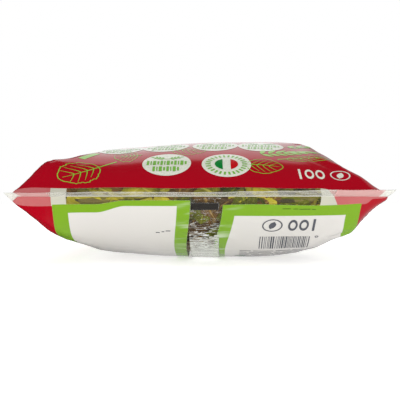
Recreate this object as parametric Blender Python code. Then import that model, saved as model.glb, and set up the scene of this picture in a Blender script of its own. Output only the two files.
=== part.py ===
"""A sealed pillow bag of salad leaves, lying on its back with its printed front up.

The bag is one length of film tube, sealed flat at both ends. The script starts from
that flat bag, a thin slab, and fills it: every point of the slab is moved to where the
same point of film lies on the filled bag. Units are metres, +Z is up, the bottom seal
points along -Y, and the origin is on the floor under the middle of the bag.
"""

import functools
import math

import bmesh
import bpy
import numpy as np

# The flat bag.
FLAT_WIDTH = 0.230
FLAT_LENGTH = 0.280
SEAL_DEPTH = 0.012
SEAL_THICKNESS = 0.0008

# The filled bag. Rises are measured from the line of the two end seals.
RISE_FRONT = 0.0385
RISE_BACK = 0.0415
PRESSED_FLAT = 0.0012
END_DEPTH = 0.094
SEAL_TILT = math.radians(20.0)

# The section of the bag has four quarters. A squareness of 2 is an ellipse, and a high one
# is a box with rounded corners: boxy just behind a seal, and softer towards the middle.
# The crown is the highest line of the front film.
CROWN_SHIFT = 0.034
SQUARE_AT_SEAL = {"front_left": 7.5, "front_right": 4.2, "back_left": 8.0, "back_right": 5.0}
SQUARE_MIDDLE = {"front_left": 2.5, "front_right": 2.9, "back_left": 2.7, "back_right": 2.9}
SQUARE_FROM = 0.026
SQUARE_UNTIL = 0.070

# Puckers: the film gathers into shallow folds where a seal holds it flat.
PUCKER_HEIGHT = 0.0007
PUCKER_PITCH = 0.0165
PUCKER_REACH = 0.055
PUCKER_RISE = 0.014
CLEAR_OF_FOLD = (0.006, 0.034)

# Mesh steps, closer together towards the side folds and the seals.
STEPS_ACROSS = 42
STEPS_ALONG = 44
CROWDING = 0.8
CURVE_SAMPLES = 160
SOLVER_STEPS = 30

FILM_RED = (0.36, 0.01, 0.02, 1.0)


def clear_scene():
    """Remove every object of the startup scene."""
    for obj in list(bpy.data.objects):
        bpy.data.objects.remove(obj)


def smooth_step(value, low, high):
    """0 below low, 1 above high, and a smooth ramp between them."""
    share = min(max((value - low) / (high - low), 0.0), 1.0)
    return share * share * (3.0 - 2.0 * share)


def end_arc():
    """Radius and angle of the arc that the film follows from an end seal to its full height."""
    rise = (RISE_FRONT + RISE_BACK) / 2.0
    radius = (END_DEPTH**2 + rise**2) / (2.0 * rise)
    return radius, 2.0 * math.atan2(rise, END_DEPTH)


def depth_of_film(run):
    """How far behind the seal line the film is, after this run of film from the seal."""
    radius, angle = end_arc()
    if run >= radius * angle:
        return END_DEPTH + run - radius * angle
    return radius * (math.sin(angle) - math.sin(angle - run / radius))


def body_half_length():
    """Distance from the seal line to the middle of the filled bag."""
    return depth_of_film(FLAT_LENGTH / 2.0 - SEAL_DEPTH)


def rise_at(depth, rise):
    """Height of one film off the seal line, on an arc that reaches the full rise at END_DEPTH."""
    radius = (END_DEPTH**2 + rise**2) / (2.0 * rise)
    short = max(END_DEPTH - depth, 0.0)
    return rise - radius + math.sqrt(radius**2 - short**2)


def squareness(depth, part):
    """Squareness of one quarter of the section, from a box behind the seal to a soft middle."""
    at_seal = SQUARE_AT_SEAL[part]
    share = smooth_step(depth, SQUARE_FROM, SQUARE_UNTIL)
    return at_seal * (SQUARE_MIDDLE[part] / at_seal) ** share


def quarter(reach, rise, square):
    """Points of a superellipse quarter, from its side point to its crown."""
    angle = np.linspace(0.0, math.pi / 2.0, CURVE_SAMPLES)
    across = reach * np.abs(np.cos(angle)) ** (2.0 / square)
    up = rise * np.abs(np.sin(angle)) ** (2.0 / square)
    return across, up


def film_curve(half_width, crown, rise, squares):
    """Section of one film from its left fold to its right fold, as two arrays."""
    left, left_up = quarter(half_width + crown, rise, squares[0])
    right, right_up = quarter(half_width - crown, rise, squares[1])
    across = np.concatenate([crown - left, crown + right[-2::-1]])
    return across, np.concatenate([left_up, right_up[-2::-1]])


def length_along(across, up):
    """Length of film from the start of the curve to each of its points."""
    steps = np.hypot(np.diff(across), np.diff(up))
    return np.concatenate([[0.0], np.cumsum(steps)])


@functools.lru_cache(maxsize=None)
def section(depth):
    """Both film curves at this depth behind the seal: the girth is always that of the flat tube."""
    swing = smooth_step(depth, 0.0, END_DEPTH) * CROWN_SHIFT
    front_squares = (squareness(depth, "front_left"), squareness(depth, "front_right"))
    back_squares = (squareness(depth, "back_left"), squareness(depth, "back_right"))
    front_rise = rise_at(depth, RISE_FRONT)
    back_rise = rise_at(depth, RISE_BACK + PRESSED_FLAT)
    low, high = 0.5 * FLAT_WIDTH / 2.0, FLAT_WIDTH / 2.0
    for _ in range(SOLVER_STEPS):
        half = (low + high) / 2.0
        front = film_curve(half, swing, front_rise, front_squares)
        back = film_curve(half, 0.0, back_rise, back_squares)
        girth = length_along(*front)[-1] + length_along(*back)[-1]
        low, high = (low, half) if girth > 2.0 * FLAT_WIDTH else (half, high)
    return front, back


def pucker(across, run):
    """Lift of the shallow folds that fan out from an end seal and die away behind it."""
    grown = smooth_step(run, 0.0, PUCKER_RISE)
    left = 1.0 - smooth_step(run, 0.0, PUCKER_REACH)
    inside = smooth_step(FLAT_WIDTH / 2.0 - abs(across), *CLEAR_OF_FOLD)
    wave = math.cos(2.0 * math.pi * across / PUCKER_PITCH)
    return PUCKER_HEIGHT * wave * grown * left * inside


def filled(across, along, upper):
    """Where a point of the flat bag lies once the bag is filled and lying on the floor."""
    half_length = body_half_length()
    end = -1.0 if along < 0.0 else 1.0
    run = FLAT_LENGTH / 2.0 - SEAL_DEPTH - abs(along)
    half_film = SEAL_THICKNESS / 2.0 if upper else -SEAL_THICKNESS / 2.0
    if run <= 0.0:
        out = half_length - run * math.cos(SEAL_TILT)
        lift = -run * math.sin(SEAL_TILT)
        return across, end * out, RISE_BACK + half_film + lift
    depth = depth_of_film(run)
    curve = section(round(depth, 6))[0 if upper else 1]
    film = length_along(*curve)
    share = (across / FLAT_WIDTH + 0.5) * film[-1]
    x = float(np.interp(share, film, curve[0]))
    rise = float(np.interp(share, film, curve[1]))
    rise += pucker(across, run)
    z = RISE_BACK + half_film + (rise if upper else -rise)
    return x, end * (half_length - depth), max(z, 0.0)


def film_material():
    """Glossy film, printed red over most of the bag."""
    material = bpy.data.materials.new("bag_film")
    material.use_nodes = True
    shader = material.node_tree.nodes["Principled BSDF"]
    shader.inputs["Base Color"].default_value = FILM_RED
    shader.inputs["Roughness"].default_value = 0.25
    shader.inputs["Metallic"].default_value = 0.0
    return material


def edges_along(mesh, axis):
    """The edges of the slab that run along one axis."""
    found = []
    for edge in mesh.edges:
        run = edge.verts[1].co - edge.verts[0].co
        if abs(run[axis]) > 0.5 * run.length:
            found.append(edge)
    return found


def crowded(place, half):
    """The same place with the even steps of the grid drawn towards both of its ends."""
    bunched = half * math.sin(math.pi / 2.0 * place / half)
    return (1.0 - CROWDING) * place + CROWDING * bunched


def flat_bag():
    """The empty bag as a thin slab, cut into a grid."""
    mesh = bmesh.new()
    bmesh.ops.create_cube(mesh, size=1.0)
    size = (FLAT_WIDTH, FLAT_LENGTH, SEAL_THICKNESS)
    bmesh.ops.scale(mesh, vec=size, verts=mesh.verts)
    bmesh.ops.subdivide_edges(
        mesh, edges=edges_along(mesh, 0), cuts=STEPS_ACROSS - 1, use_grid_fill=True
    )
    bmesh.ops.subdivide_edges(
        mesh, edges=edges_along(mesh, 1), cuts=STEPS_ALONG - 1, use_grid_fill=True
    )
    for vert in mesh.verts:
        vert.co.x = crowded(vert.co.x, FLAT_WIDTH / 2.0)
        vert.co.y = crowded(vert.co.y, FLAT_LENGTH / 2.0)
    return mesh


def salad_bag(collection):
    """The filled and sealed bag, as one solid."""
    mesh = flat_bag()
    for vert in mesh.verts:
        vert.co = filled(vert.co.x, vert.co.y, vert.co.z > 0.0)
    bmesh.ops.recalc_face_normals(mesh, faces=mesh.faces)
    data = bpy.data.meshes.new("salad_bag")
    mesh.to_mesh(data)
    mesh.free()
    data.shade_smooth()
    data.set_sharp_from_angle(angle=math.radians(40.0))
    data.materials.append(film_material())
    bag = bpy.data.objects.new("salad_bag", data)
    collection.objects.link(bag)
    return bag


def main():
    """Build the bag in a collection of its own."""
    clear_scene()
    collection = bpy.data.collections.new("salad_bag")
    bpy.context.scene.collection.children.link(collection)
    salad_bag(collection)


main()
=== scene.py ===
# %% [markdown]
# # A bag of salad leaves
#
# A salad bag is one sheet of clear printed film. A machine wraps it into a tube, welds it
# down the back, seals it flat at the bottom, drops the leaves in, and seals the top. This
# script makes it in the same order: the flat sizes, the tube, the filling, the seals, the
# leaves and the print. It starts from the CAD frame, which settles where the bag lies.

# %% Load the frame
import math
import random

import bmesh
import bpy
import numpy as np
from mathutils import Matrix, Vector, noise


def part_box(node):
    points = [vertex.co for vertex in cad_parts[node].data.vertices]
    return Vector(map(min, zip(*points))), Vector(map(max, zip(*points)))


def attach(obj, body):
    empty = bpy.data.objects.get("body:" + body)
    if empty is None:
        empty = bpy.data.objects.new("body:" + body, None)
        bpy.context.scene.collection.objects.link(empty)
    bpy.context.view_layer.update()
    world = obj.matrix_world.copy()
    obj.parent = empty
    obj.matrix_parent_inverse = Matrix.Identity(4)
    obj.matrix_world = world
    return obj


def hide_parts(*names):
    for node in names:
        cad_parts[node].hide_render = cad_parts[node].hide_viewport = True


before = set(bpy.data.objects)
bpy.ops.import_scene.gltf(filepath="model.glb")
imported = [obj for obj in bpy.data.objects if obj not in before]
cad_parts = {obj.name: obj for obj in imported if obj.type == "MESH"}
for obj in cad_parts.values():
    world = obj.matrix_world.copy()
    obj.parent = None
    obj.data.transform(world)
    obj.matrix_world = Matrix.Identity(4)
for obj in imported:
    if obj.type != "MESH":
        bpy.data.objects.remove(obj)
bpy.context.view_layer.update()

# %% [markdown]
# ## The flat sizes
#
# Everything on film is measured on the flat sheet. `across` runs round the tube, from the
# weld in the middle of the back (0) by way of the left fold, the middle of the front and
# the right fold to the weld again. `along` runs from the bottom seal (minus) to the top
# seal (plus). Working on the flat sheet keeps print, seals and wrinkles in one place, as
# on the real thing, and the filled shape only has to be worked out once.

# %% Flat sizes
MM = 0.001
box_low, box_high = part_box("salad_bag")
FLAT_WIDTH = box_high.x - box_low.x
GIRTH = 2.0 * FLAT_WIDTH
LEFT_FOLD = 0.25 * GIRTH
FRONT_MIDDLE = 0.50 * GIRTH
RIGHT_FOLD = 0.75 * GIRTH
SEAL_DEPTH = 12.0 * MM
SEAL_REACH = 11.28 * MM
FLAT_LENGTH = 280.0 * MM
HALF_FILM = FLAT_LENGTH / 2.0 - SEAL_DEPTH
SEAL_LINE = box_high.y - SEAL_REACH
print("film between the seals:", round(2000 * HALF_FILM), "mm long,", round(1000 * GIRTH), "mm round")

# %% [markdown]
# ## The shape of the filled bag
#
# A filled bag is hard to model by hand, because film bends but hardly stretches: a girth
# of 460 mm stays 460 mm wherever the bag is cut. So each cross-section is a soft box whose
# width is solved for that girth, while its height follows an arc up from the seal. Each
# quarter of the box has its own squareness, which gives the slumped, uneven shoulders.

# %% Section of the bag
RISE_BACK = 41.5 * MM
RISE_FRONT = box_high.z - RISE_BACK - 0.4 * MM
PRESSED_FLAT = 1.2 * MM
END_DEPTH = 94.0 * MM
CROWN_SHIFT = 34.0 * MM
SQUARE_AT_SEAL = {"front_left": 7.5, "front_right": 4.2, "back_left": 8.0, "back_right": 5.0}
SQUARE_MIDDLE = {"front_left": 2.5, "front_right": 2.9, "back_left": 2.7, "back_right": 2.9}
SQUARE_FROM = 26.0 * MM
SQUARE_UNTIL = 70.0 * MM


def ramp(value, low, high):
    """0 below low, 1 above high, and a smooth rise between, for numbers and arrays."""
    share = np.clip((value - low) / (high - low), 0.0, 1.0)
    return share * share * (3.0 - 2.0 * share)


def depth_of_film(run):
    """Distance behind the seal line after this run of film, along the end's arc."""
    rise = (RISE_FRONT + RISE_BACK) / 2.0
    radius = (END_DEPTH**2 + rise**2) / (2.0 * rise)
    angle = 2.0 * math.atan2(rise, END_DEPTH)
    if run >= radius * angle:
        return END_DEPTH + run - radius * angle
    return radius * (math.sin(angle) - math.sin(angle - run / radius))


def rise_at(depth, rise):
    """Height of one film off the seal line at this depth."""
    radius = (END_DEPTH**2 + rise**2) / (2.0 * rise)
    short = max(END_DEPTH - depth, 0.0)
    return rise - radius + math.sqrt(radius**2 - short**2)


def quarter(reach, rise, square):
    """Points of a superellipse quarter, from its side point to its crown."""
    angle = np.linspace(0.0, math.pi / 2.0, 300)
    across = reach * np.abs(np.cos(angle)) ** (2.0 / square)
    up = rise * np.abs(np.sin(angle)) ** (2.0 / square)
    return across, up


def film_curve(half_width, crown, rise, depth, sides):
    """x, height and film length along one face's section, from its left fold to its right."""
    share = ramp(depth, SQUARE_FROM, SQUARE_UNTIL)
    square = [SQUARE_AT_SEAL[s] * (SQUARE_MIDDLE[s] / SQUARE_AT_SEAL[s]) ** share for s in sides]
    left, left_up = quarter(half_width + crown, rise, square[0])
    right, right_up = quarter(half_width - crown, rise, square[1])
    x = np.concatenate([crown - left, crown + right[-2::-1]])
    up = np.concatenate([left_up, right_up[-2::-1]])
    film = np.concatenate([[0.0], np.cumsum(np.hypot(np.diff(x), np.diff(up)))])
    return x, up, film


def section(depth):
    """Curves of the front and back film at this depth: the width is solved for the girth."""
    crown = CROWN_SHIFT * ramp(depth, 0.0, END_DEPTH)
    low, high = FLAT_WIDTH / 4.0, FLAT_WIDTH / 2.0
    for _ in range(30):
        half = (low + high) / 2.0
        rise = rise_at(depth, RISE_FRONT)
        front = film_curve(half, crown, rise, depth, ("front_left", "front_right"))
        rise = rise_at(depth, RISE_BACK + PRESSED_FLAT)
        back = film_curve(half, 0.0, rise, depth, ("back_left", "back_right"))
        too_long = front[2][-1] + back[2][-1] > GIRTH
        low, high = (low, half) if too_long else (half, high)
    return front, back


def film_row(along, across):
    """Where the points of one row of film lie on the filled bag, as an array of x, y, z."""
    depth = depth_of_film(HALF_FILM - abs(along))
    front, back = section(depth)
    on_front = (across >= LEFT_FOLD) & (across <= RIGHT_FOLD)
    share = np.where(across < LEFT_FOLD, LEFT_FOLD - across, GIRTH + LEFT_FOLD - across) / FLAT_WIDTH
    share = np.where(on_front, (across - LEFT_FOLD) / FLAT_WIDTH, share)
    row = np.zeros((len(across), 3))
    for curve, used, sign in ((front, on_front, 1.0), (back, ~on_front, -1.0)):
        film = share * curve[2][-1]
        row[used, 0] = np.interp(film, curve[2], curve[0])[used]
        row[used, 2] = RISE_BACK + sign * np.interp(film, curve[2], curve[1])[used]
    row[:, 1] = math.copysign(SEAL_LINE - depth, along)
    return row


# %% [markdown]
# ## The film as a tube
#
# The film could be two sheets joined at the sides, but a tube has no seam to hide: it
# starts as an open cylinder, `create_cone` without caps, cut into rings. A vertex's angle
# then says how far across the sheet it is, and its height how far along. Even steps of
# 3 mm let a cloth solver treat the film alike in both directions.

# %% Make a tube of film
def tube_of_film(name, columns, rows):
    """An open tube as an object, with the vertex of each row and column as an array."""
    mesh = bmesh.new()
    bmesh.ops.create_cone(
        mesh, cap_ends=False, segments=columns, radius1=1.0, radius2=1.0, depth=2.0
    )
    upright = [e for e in mesh.edges if abs(e.verts[0].co.z - e.verts[1].co.z) > 1.0]
    bmesh.ops.subdivide_edges(mesh, edges=upright, cuts=rows - 1)
    mesh.verts.index_update()
    order = np.zeros((rows + 1, columns), int)
    for vert in mesh.verts:
        turn = math.atan2(vert.co.x, -vert.co.y) / (2.0 * math.pi)
        row = round((vert.co.z + 1.0) / 2.0 * rows)
        order[row, round(turn * columns) % columns] = vert.index
    bmesh.ops.recalc_face_normals(mesh, faces=mesh.faces)
    data = bpy.data.meshes.new(name)
    mesh.to_mesh(data)
    mesh.free()
    piece = bpy.data.objects.new(name, data)
    bpy.context.scene.collection.objects.link(piece)
    return piece, order


def put(piece, order, places):
    """Moves each vertex of a tube to its place: order and places share rows and columns."""
    co = np.zeros((len(piece.data.vertices), 3), np.float32)
    co[order.ravel()] = places.reshape(-1, 3)
    piece.data.vertices.foreach_set("co", co.ravel())
    piece.data.update()


COLUMNS = 152
ROWS = 84
STEP_ACROSS = GIRTH / COLUMNS
column_places = np.arange(COLUMNS) * STEP_ACROSS
row_places = np.linspace(-HALF_FILM, HALF_FILM, ROWS + 1)
smooth_bag = np.array([film_row(along, column_places) for along in row_places])
print("tube steps in mm:", round(1000 * STEP_ACROSS, 2), round(2000 * HALF_FILM / ROWS, 2))

# %% [markdown]
# ## Filling it: a short cloth simulation
#
# The smooth shape has the right girth, but down its sides the film is longer than the
# path it takes, and that spare film is what makes the creases of a real bag. They could
# be sculpted, but a solver finds them better. Cloth keeps the length of every edge, so it
# only needs to know the real lengths. They come from the same tube laid over a plain arch,
# which bends the sheet but stretches nothing. The base mesh changes to that arch on the
# third frame while the air pressure holds the bag open, and the film buckles by itself.

# %% Let the film crease
SIM_FRAMES = 26
PRESSURE = 30.0
CREASE_START = 0.3 * MM


def arched_tube():
    """The flat tube bent over one arc between the seals, so that no edge changes length."""
    low, high = 0.01, 1.5
    for _ in range(50):
        half_angle = (low + high) / 2.0
        reach = HALF_FILM / half_angle * math.sin(half_angle)
        low, high = (half_angle, high) if reach > SEAL_LINE else (low, half_angle)
    radius = HALF_FILM / half_angle
    flat_x = np.where(
        column_places <= LEFT_FOLD,
        -column_places,
        np.where(column_places < RIGHT_FOLD, column_places - FRONT_MIDDLE, GIRTH - column_places),
    )
    places = np.zeros_like(smooth_bag)
    places[:, :, 0] = flat_x
    places[:, :, 1] = (radius * np.sin(row_places / radius))[:, None]
    bulge = radius * (np.cos(row_places / radius) - math.cos(half_angle))
    places[:, :, 2] = (RISE_BACK + bulge)[:, None]
    return places


NOISE_SEED = 4
noise.seed_set(NOISE_SEED)


def unevenness(places, size, amount):
    """A smooth random push for each point, the same on every run because the noise is seeded."""
    push = [noise.noise_vector(Vector(point) / size) for point in places.reshape(-1, 3)]
    return amount * np.array([list(p) for p in push]).reshape(places.shape)


def creased(places):
    start = places.copy()
    start[1:-1] += unevenness(places[1:-1], 12.0 * MM, CREASE_START)
    piece, order = tube_of_film("film_to_settle", COLUMNS, ROWS)
    put(piece, order, start)
    piece.shape_key_add(name="filled")
    flat = piece.shape_key_add(name="flat")
    co = np.zeros((order.size, 3), np.float32)
    co[order.ravel()] = arched_tube().reshape(-1, 3)
    flat.data.foreach_set("co", co.ravel())
    for frame_number, value in ((1, 0.0), (3, 1.0)):
        flat.value = value
        flat.keyframe_insert("value", frame=frame_number)
    action = piece.data.shape_keys.animation_data.action
    for key in action.fcurves[0].keyframe_points:
        key.interpolation = "CONSTANT"
    held = piece.vertex_groups.new(name="seals")
    held.add([int(i) for i in order[[0, -1]].ravel()], 1.0, "REPLACE")
    cloth = piece.modifiers.new("film", "CLOTH")
    settings = cloth.settings
    settings.quality = 6
    settings.mass = 0.0008
    settings.tension_stiffness = 80.0
    settings.compression_stiffness = 80.0
    settings.shear_stiffness = 10.0
    settings.bending_stiffness = 0.01
    settings.tension_damping = 0.5
    settings.compression_damping = 0.5
    settings.shear_damping = 0.5
    settings.use_dynamic_mesh = True
    settings.vertex_group_mass = "seals"
    settings.use_pressure = True
    settings.uniform_pressure_force = PRESSURE
    settings.effector_weights.gravity = 0.0
    cloth.collision_settings.use_collision = False
    cloth.point_cache.frame_end = SIM_FRAMES
    for frame_number in range(1, SIM_FRAMES + 1):
        bpy.context.scene.frame_set(frame_number)
    settled = piece.evaluated_get(bpy.context.evaluated_depsgraph_get()).data
    co = np.zeros(3 * len(settled.vertices), np.float32)
    settled.vertices.foreach_get("co", co)
    result = co.reshape(-1, 3)[order].astype(float)
    bpy.context.scene.frame_set(1)
    bpy.data.objects.remove(piece)
    bpy.data.actions.remove(action)
    return result


creased_bag = creased(smooth_bag)
moved = np.linalg.norm(creased_bag - smooth_bag, axis=2)
print("film moved by", round(1000 * moved.mean(), 2), "mm on average,", round(1000 * moved.max(), 1), "at most")

# %% [markdown]
# ## Keeping the creases and the bag's own slump
#
# Even pressure makes the bag symmetric, and this one has slumped to one side. The
# difference between the two shapes is split in two, as with sound: a broad part, which is
# the change of the whole form, and a fine part, which is the creases. The creases are
# kept whole and the broad part only a little. Two rounds of in-between points then make
# the grid fine enough for small creases to look round.

# %% Blend the creases in
BROAD = 18.0 * MM
BROAD_KEPT = 0.1
CORNER_PULL = 4.4 * MM
CORNER_PINCH = ((LEFT_FOLD, 0.15), (RIGHT_FOLD, 0.5))
FLOOR_GAP = 0.1 * MM


def spread(grid, width, wrap):
    """The grid averaged over this many points, by a bell curve, along its first direction."""
    reach = int(3.0 * width) + 1
    bell = np.exp(-0.5 * (np.arange(-reach, reach + 1) / width) ** 2)
    bell /= bell.sum()
    if wrap:
        padded = np.concatenate([grid[-reach:], grid, grid[:reach]])
    else:
        padded = np.concatenate([-grid[reach:0:-1], grid, -grid[-2 : -reach - 2 : -1]])
    return sum(share * padded[i : i + len(grid)] for i, share in enumerate(bell))


def doubled(grid, wrap):
    """The grid with a point on a smooth curve between every two, along its first direction."""
    if wrap:
        padded = np.concatenate([grid[-1:], grid, grid[:2]])
    else:
        padded = np.concatenate([2 * grid[:1] - grid[1:2], grid, 2 * grid[-1:] - grid[-2:-1]])
    middle = (9.0 * (padded[1:-2] + padded[2:-1]) - padded[:-3] - padded[3:]) / 16.0
    result = np.zeros((len(grid) + len(middle),) + grid.shape[1:])
    result[0::2] = grid
    result[1::2] = middle
    return result


def near(place, across, width):
    """1 on a line of the sheet, falling smoothly to 0 at this distance from it, for every column."""
    return 1.0 - ramp(np.abs(place - across), 0.0, width)


rows_run = HALF_FILM - np.abs(row_places)
folds = near(column_places, LEFT_FOLD, 26.0 * MM) + near(column_places, RIGHT_FOLD, 26.0 * MM)
calm = 1.0 - 0.8 * (1.0 - ramp(rows_run, 10.0 * MM, 26.0 * MM))[:, None] * folds[None, :]
change = creased_bag - smooth_bag
broad = spread(change, BROAD / (2.0 * HALF_FILM / ROWS), False)
broad = spread(broad.swapaxes(0, 1), BROAD / STEP_ACROSS, True).swapaxes(0, 1)
film_grid = smooth_bag + (change - (1.0 - BROAD_KEPT) * broad) * calm[:, :, None]
film_grid = doubled(doubled(film_grid, False).swapaxes(0, 1), True).swapaxes(0, 1)
FILM_ROWS, FILM_COLUMNS = film_grid.shape[0] - 1, film_grid.shape[1]
fine_across = np.arange(FILM_COLUMNS) * GIRTH / FILM_COLUMNS
fine_along = np.linspace(-HALF_FILM, HALF_FILM, FILM_ROWS + 1)
fine_run = HALF_FILM - np.abs(fine_along)
print("film grid:", FILM_ROWS, "rows of", FILM_COLUMNS, "points")

# %% [markdown]
# ## Shoulders and corners
#
# Where the filling pushes from inside, or a corner was pinched as the seal was made, the
# film leaves the even shape. Each such place is a soft push: a bell-shaped patch on the
# flat sheet, moved by a few millimetres. The corners also draw in a little, because a
# weld shrinks, and the films meet there like the two halves of a lens.

# %% Shape the shoulders and corners
def push_film(across, run, wide, long, by):
    """Pushes the film at one place, and at its twin at the other end, fading out around them."""
    off = (fine_across - across + GIRTH / 2.0) % GIRTH - GIRTH / 2.0
    bell = np.exp(-0.5 * (off / wide) ** 2)[None, :]
    bell = bell * np.exp(-0.5 * ((fine_run - run) / long) ** 2)[:, None]
    film_grid[:] += bell[:, :, None] * np.array(by)


for corner, amount in CORNER_PINCH:
    at_corner = near(fine_across, corner, 18.0 * MM)[None, :]
    at_corner = at_corner * (1.0 - ramp(fine_run, 8.0 * MM, 34.0 * MM))[:, None]
    film_grid[:, :, 2] = RISE_BACK + (film_grid[:, :, 2] - RISE_BACK) * (1.0 - amount * at_corner)
near_seal = 1.0 - ramp(fine_run, 0.0, 9.0 * MM)
outer = ramp(np.abs(film_grid[:, :, 0]), 88.0 * MM, 115.0 * MM)
film_grid[:, :, 0] -= np.sign(film_grid[:, :, 0]) * CORNER_PULL * outer * near_seal[:, None]
push_film(132 * MM, 34 * MM, 8 * MM, 11 * MM, (-1.0 * MM, 0.0, 4.2 * MM))
push_film(165 * MM, 75 * MM, 22 * MM, 30 * MM, (0.0, 0.0, -1.0 * MM))
push_film(292 * MM, 75 * MM, 8 * MM, 20 * MM, (0.0, 0.0, -1.2 * MM))
push_film(318 * MM, 33 * MM, 9 * MM, 15 * MM, (0.0, 0.0, -1.7 * MM))
push_film(90 * MM, 34 * MM, 9 * MM, 14 * MM, (0.0, 0.0, -2.0 * MM))
push_film(361 * MM, 19 * MM, 6 * MM, 8 * MM, (0.0, 0.0, 1.8 * MM))
push_film(364 * MM, 38 * MM, 6 * MM, 9 * MM, (1.0 * MM, 0.0, -3.3 * MM))
push_film(386 * MM, 52 * MM, 10 * MM, 14 * MM, (0.0, 0.0, -1.8 * MM))
push_film(412 * MM, 68 * MM, 18 * MM, 22 * MM, (0.0, 0.0, -2.6 * MM))
print("highest point:", round(1000 * film_grid[:, :, 2].max(), 1), "mm")

# %% [markdown]
# ## Pulled folds
#
# Two kinds of crease are too sharp for the solver's grid: the ones that run out of each
# corner, where the seal holds the film flat while the filling rounds it, and the short ones
# that the shrunk weld pulls across the middle of the back. They are ridges: each follows a
# line on the flat sheet, stands highest in its middle and falls off quickly to its sides.

# %% Raise the folds
def outward(grid):
    """The direction straight out of the film at each of its points."""
    round_bag = np.roll(grid, -1, axis=1) - np.roll(grid, 1, axis=1)
    normals = np.cross(round_bag, np.gradient(grid, axis=0))
    return normals / np.linalg.norm(normals, axis=2, keepdims=True)


def fold_heights(end, start, finish, height, sharp):
    """Height of one ridge at every film point: start and finish are places across and runs from a seal."""
    off_across = (fine_across - start[0] + GIRTH / 2.0) % GIRTH - GIRTH / 2.0
    run = HALF_FILM - end * fine_along
    way = np.array([(finish[0] - start[0] + GIRTH / 2.0) % GIRTH - GIRTH / 2.0, finish[1] - start[1]])
    length = np.linalg.norm(way)
    way = way / length
    a, b = off_across[None, :], (run - start[1])[:, None]
    share = (a * way[0] + b * way[1]) / length
    aside = a * way[1] - b * way[0]
    bend = 0.03 * length * np.sin(math.pi * np.clip(share, 0.0, 1.0))
    swell = np.sin(math.pi * np.clip(share, 0.0, 1.0)) ** 0.7
    return height * swell * np.exp(-(((aside - bend) / sharp) ** 2))


def pulled_folds():
    """All the ridges of both ends, as one height for each film point."""
    rng = random.Random(3)
    heights = np.zeros(film_grid.shape[:2])
    for end in (-1.0, 1.0):
        for corner, inward in ((LEFT_FOLD, 1.0), (RIGHT_FOLD, -1.0)):
            slack = 0.2 if corner == LEFT_FOLD else 1.0
            for side in (1.0, -1.0):
                for reach, deep, high in ((16, 52, 0.9), (34, 62, 0.6), (24, 70, 0.5), (52, 48, 0.35)):
                    start = (corner + side * inward * rng.uniform(1.0, 5.0) * MM, rng.uniform(1.0, 5.0) * MM)
                    reach_to = side * inward * reach * rng.uniform(0.85, 1.15) * MM
                    finish = (corner + reach_to, deep * rng.uniform(0.85, 1.15) * MM)
                    height = slack * high * rng.uniform(0.7, 1.1) * MM
                    heights += fold_heights(end, start, finish, height, rng.uniform(1.6, 2.8) * MM)
        run = 15.0
        while run < 120.0:
            left, right = rng.uniform(8.0, 22.0) * MM, rng.uniform(10.0, 30.0) * MM
            lean = rng.uniform(-5.0, 3.0)
            start, finish = (left, (run + lean) * MM), (-right, (run - lean) * MM)
            heights += fold_heights(end, start, finish, rng.uniform(0.2, 0.6) * MM, rng.uniform(1.1, 1.9) * MM)
            run += rng.uniform(4.0, 9.0)
    return heights


film_grid += outward(film_grid) * pulled_folds()[:, :, None]
film_grid[:, :, 2] = np.maximum(film_grid[:, :, 2], FLOOR_GAP)

# %% [markdown]
# ## From the flat sheet to the filled bag
#
# Seals, print and leaves are all laid out flat and then bent onto the bag. One function
# does it: it looks up a place on the flat sheet in the film grid, and can lift the point
# off the film or sink it towards the opposite film, which is how the leaves get inside.

# %% Look up points on the film
film_normals = outward(film_grid)


def look_up(grid, across, along):
    """The values of a film grid at these places on the flat sheet."""
    column = np.asarray(across) / GIRTH * FILM_COLUMNS
    row = (np.asarray(along) / HALF_FILM + 1.0) / 2.0 * FILM_ROWS
    row = np.clip(row, 0.0, FILM_ROWS - 0.001)
    left = np.floor(column).astype(int)
    below = np.floor(row).astype(int)
    share_across = (column - left)[:, None]
    share_along = (row - below)[:, None]
    left, right = left % FILM_COLUMNS, (left + 1) % FILM_COLUMNS
    low = grid[below, left] * (1.0 - share_across) + grid[below, right] * share_across
    high = grid[below + 1, left] * (1.0 - share_across) + grid[below + 1, right] * share_across
    return low * (1.0 - share_along) + high * share_along


def on_film(across, along, lift):
    """Points of the filled bag over these places on the flat sheet, lifted off the film."""
    point = look_up(film_grid, across, along)
    normal = look_up(film_normals, across, along)
    return point + normal * np.asarray(lift)[:, None]


def in_bag(across, along, sink, deepest=0.46):
    """Points sunk by this much from the film towards the film straight across the bag."""
    near = look_up(film_grid, across, along)
    far = look_up(film_grid, FRONT_MIDDLE - np.asarray(across), along)
    gap = np.linalg.norm(far - near, axis=1)
    share = np.minimum(np.asarray(sink) / np.maximum(gap, 0.01 * MM), deepest)
    return near + (far - near) * share[:, None]


print("widest gap between the films:", round(1000 * np.ptp(film_grid[:, :, 2])), "mm")

# %% [markdown]
# ## Materials for printed film
#
# Printed film is one sheet with flat fields of ink on its inner side, so it is one
# material with masks that switch between ink and clear film. The masks come from one
# small group, a field with straight sides and a corner radius, which works in metres on
# the flat sheet. Where there is ink the film is opaque; where there is none it only lets
# a little milkiness and its gloss show. From inside, ink looks pale, because a white
# coat is printed under the colours.

# %% Node helpers
def linear(red, green, blue):
    """A shader colour from the usual 0 to 255 values."""
    parts = [c / 255.0 for c in (red, green, blue)]
    return tuple(c / 12.92 if c <= 0.04045 else ((c + 0.055) / 1.055) ** 2.4 for c in parts) + (1.0,)


def add_node(tree, kind, values=(), **settings):
    """A node with its settings, and its inputs filled with numbers, colours or other sockets."""
    node = tree.nodes.new(kind)
    for name, value in settings.items():
        setattr(node, name, value)
    for key, value in dict(values).items():
        if isinstance(value, bpy.types.NodeSocket):
            tree.links.new(value, node.inputs[key])
        else:
            node.inputs[key].default_value = value
    return node


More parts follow.
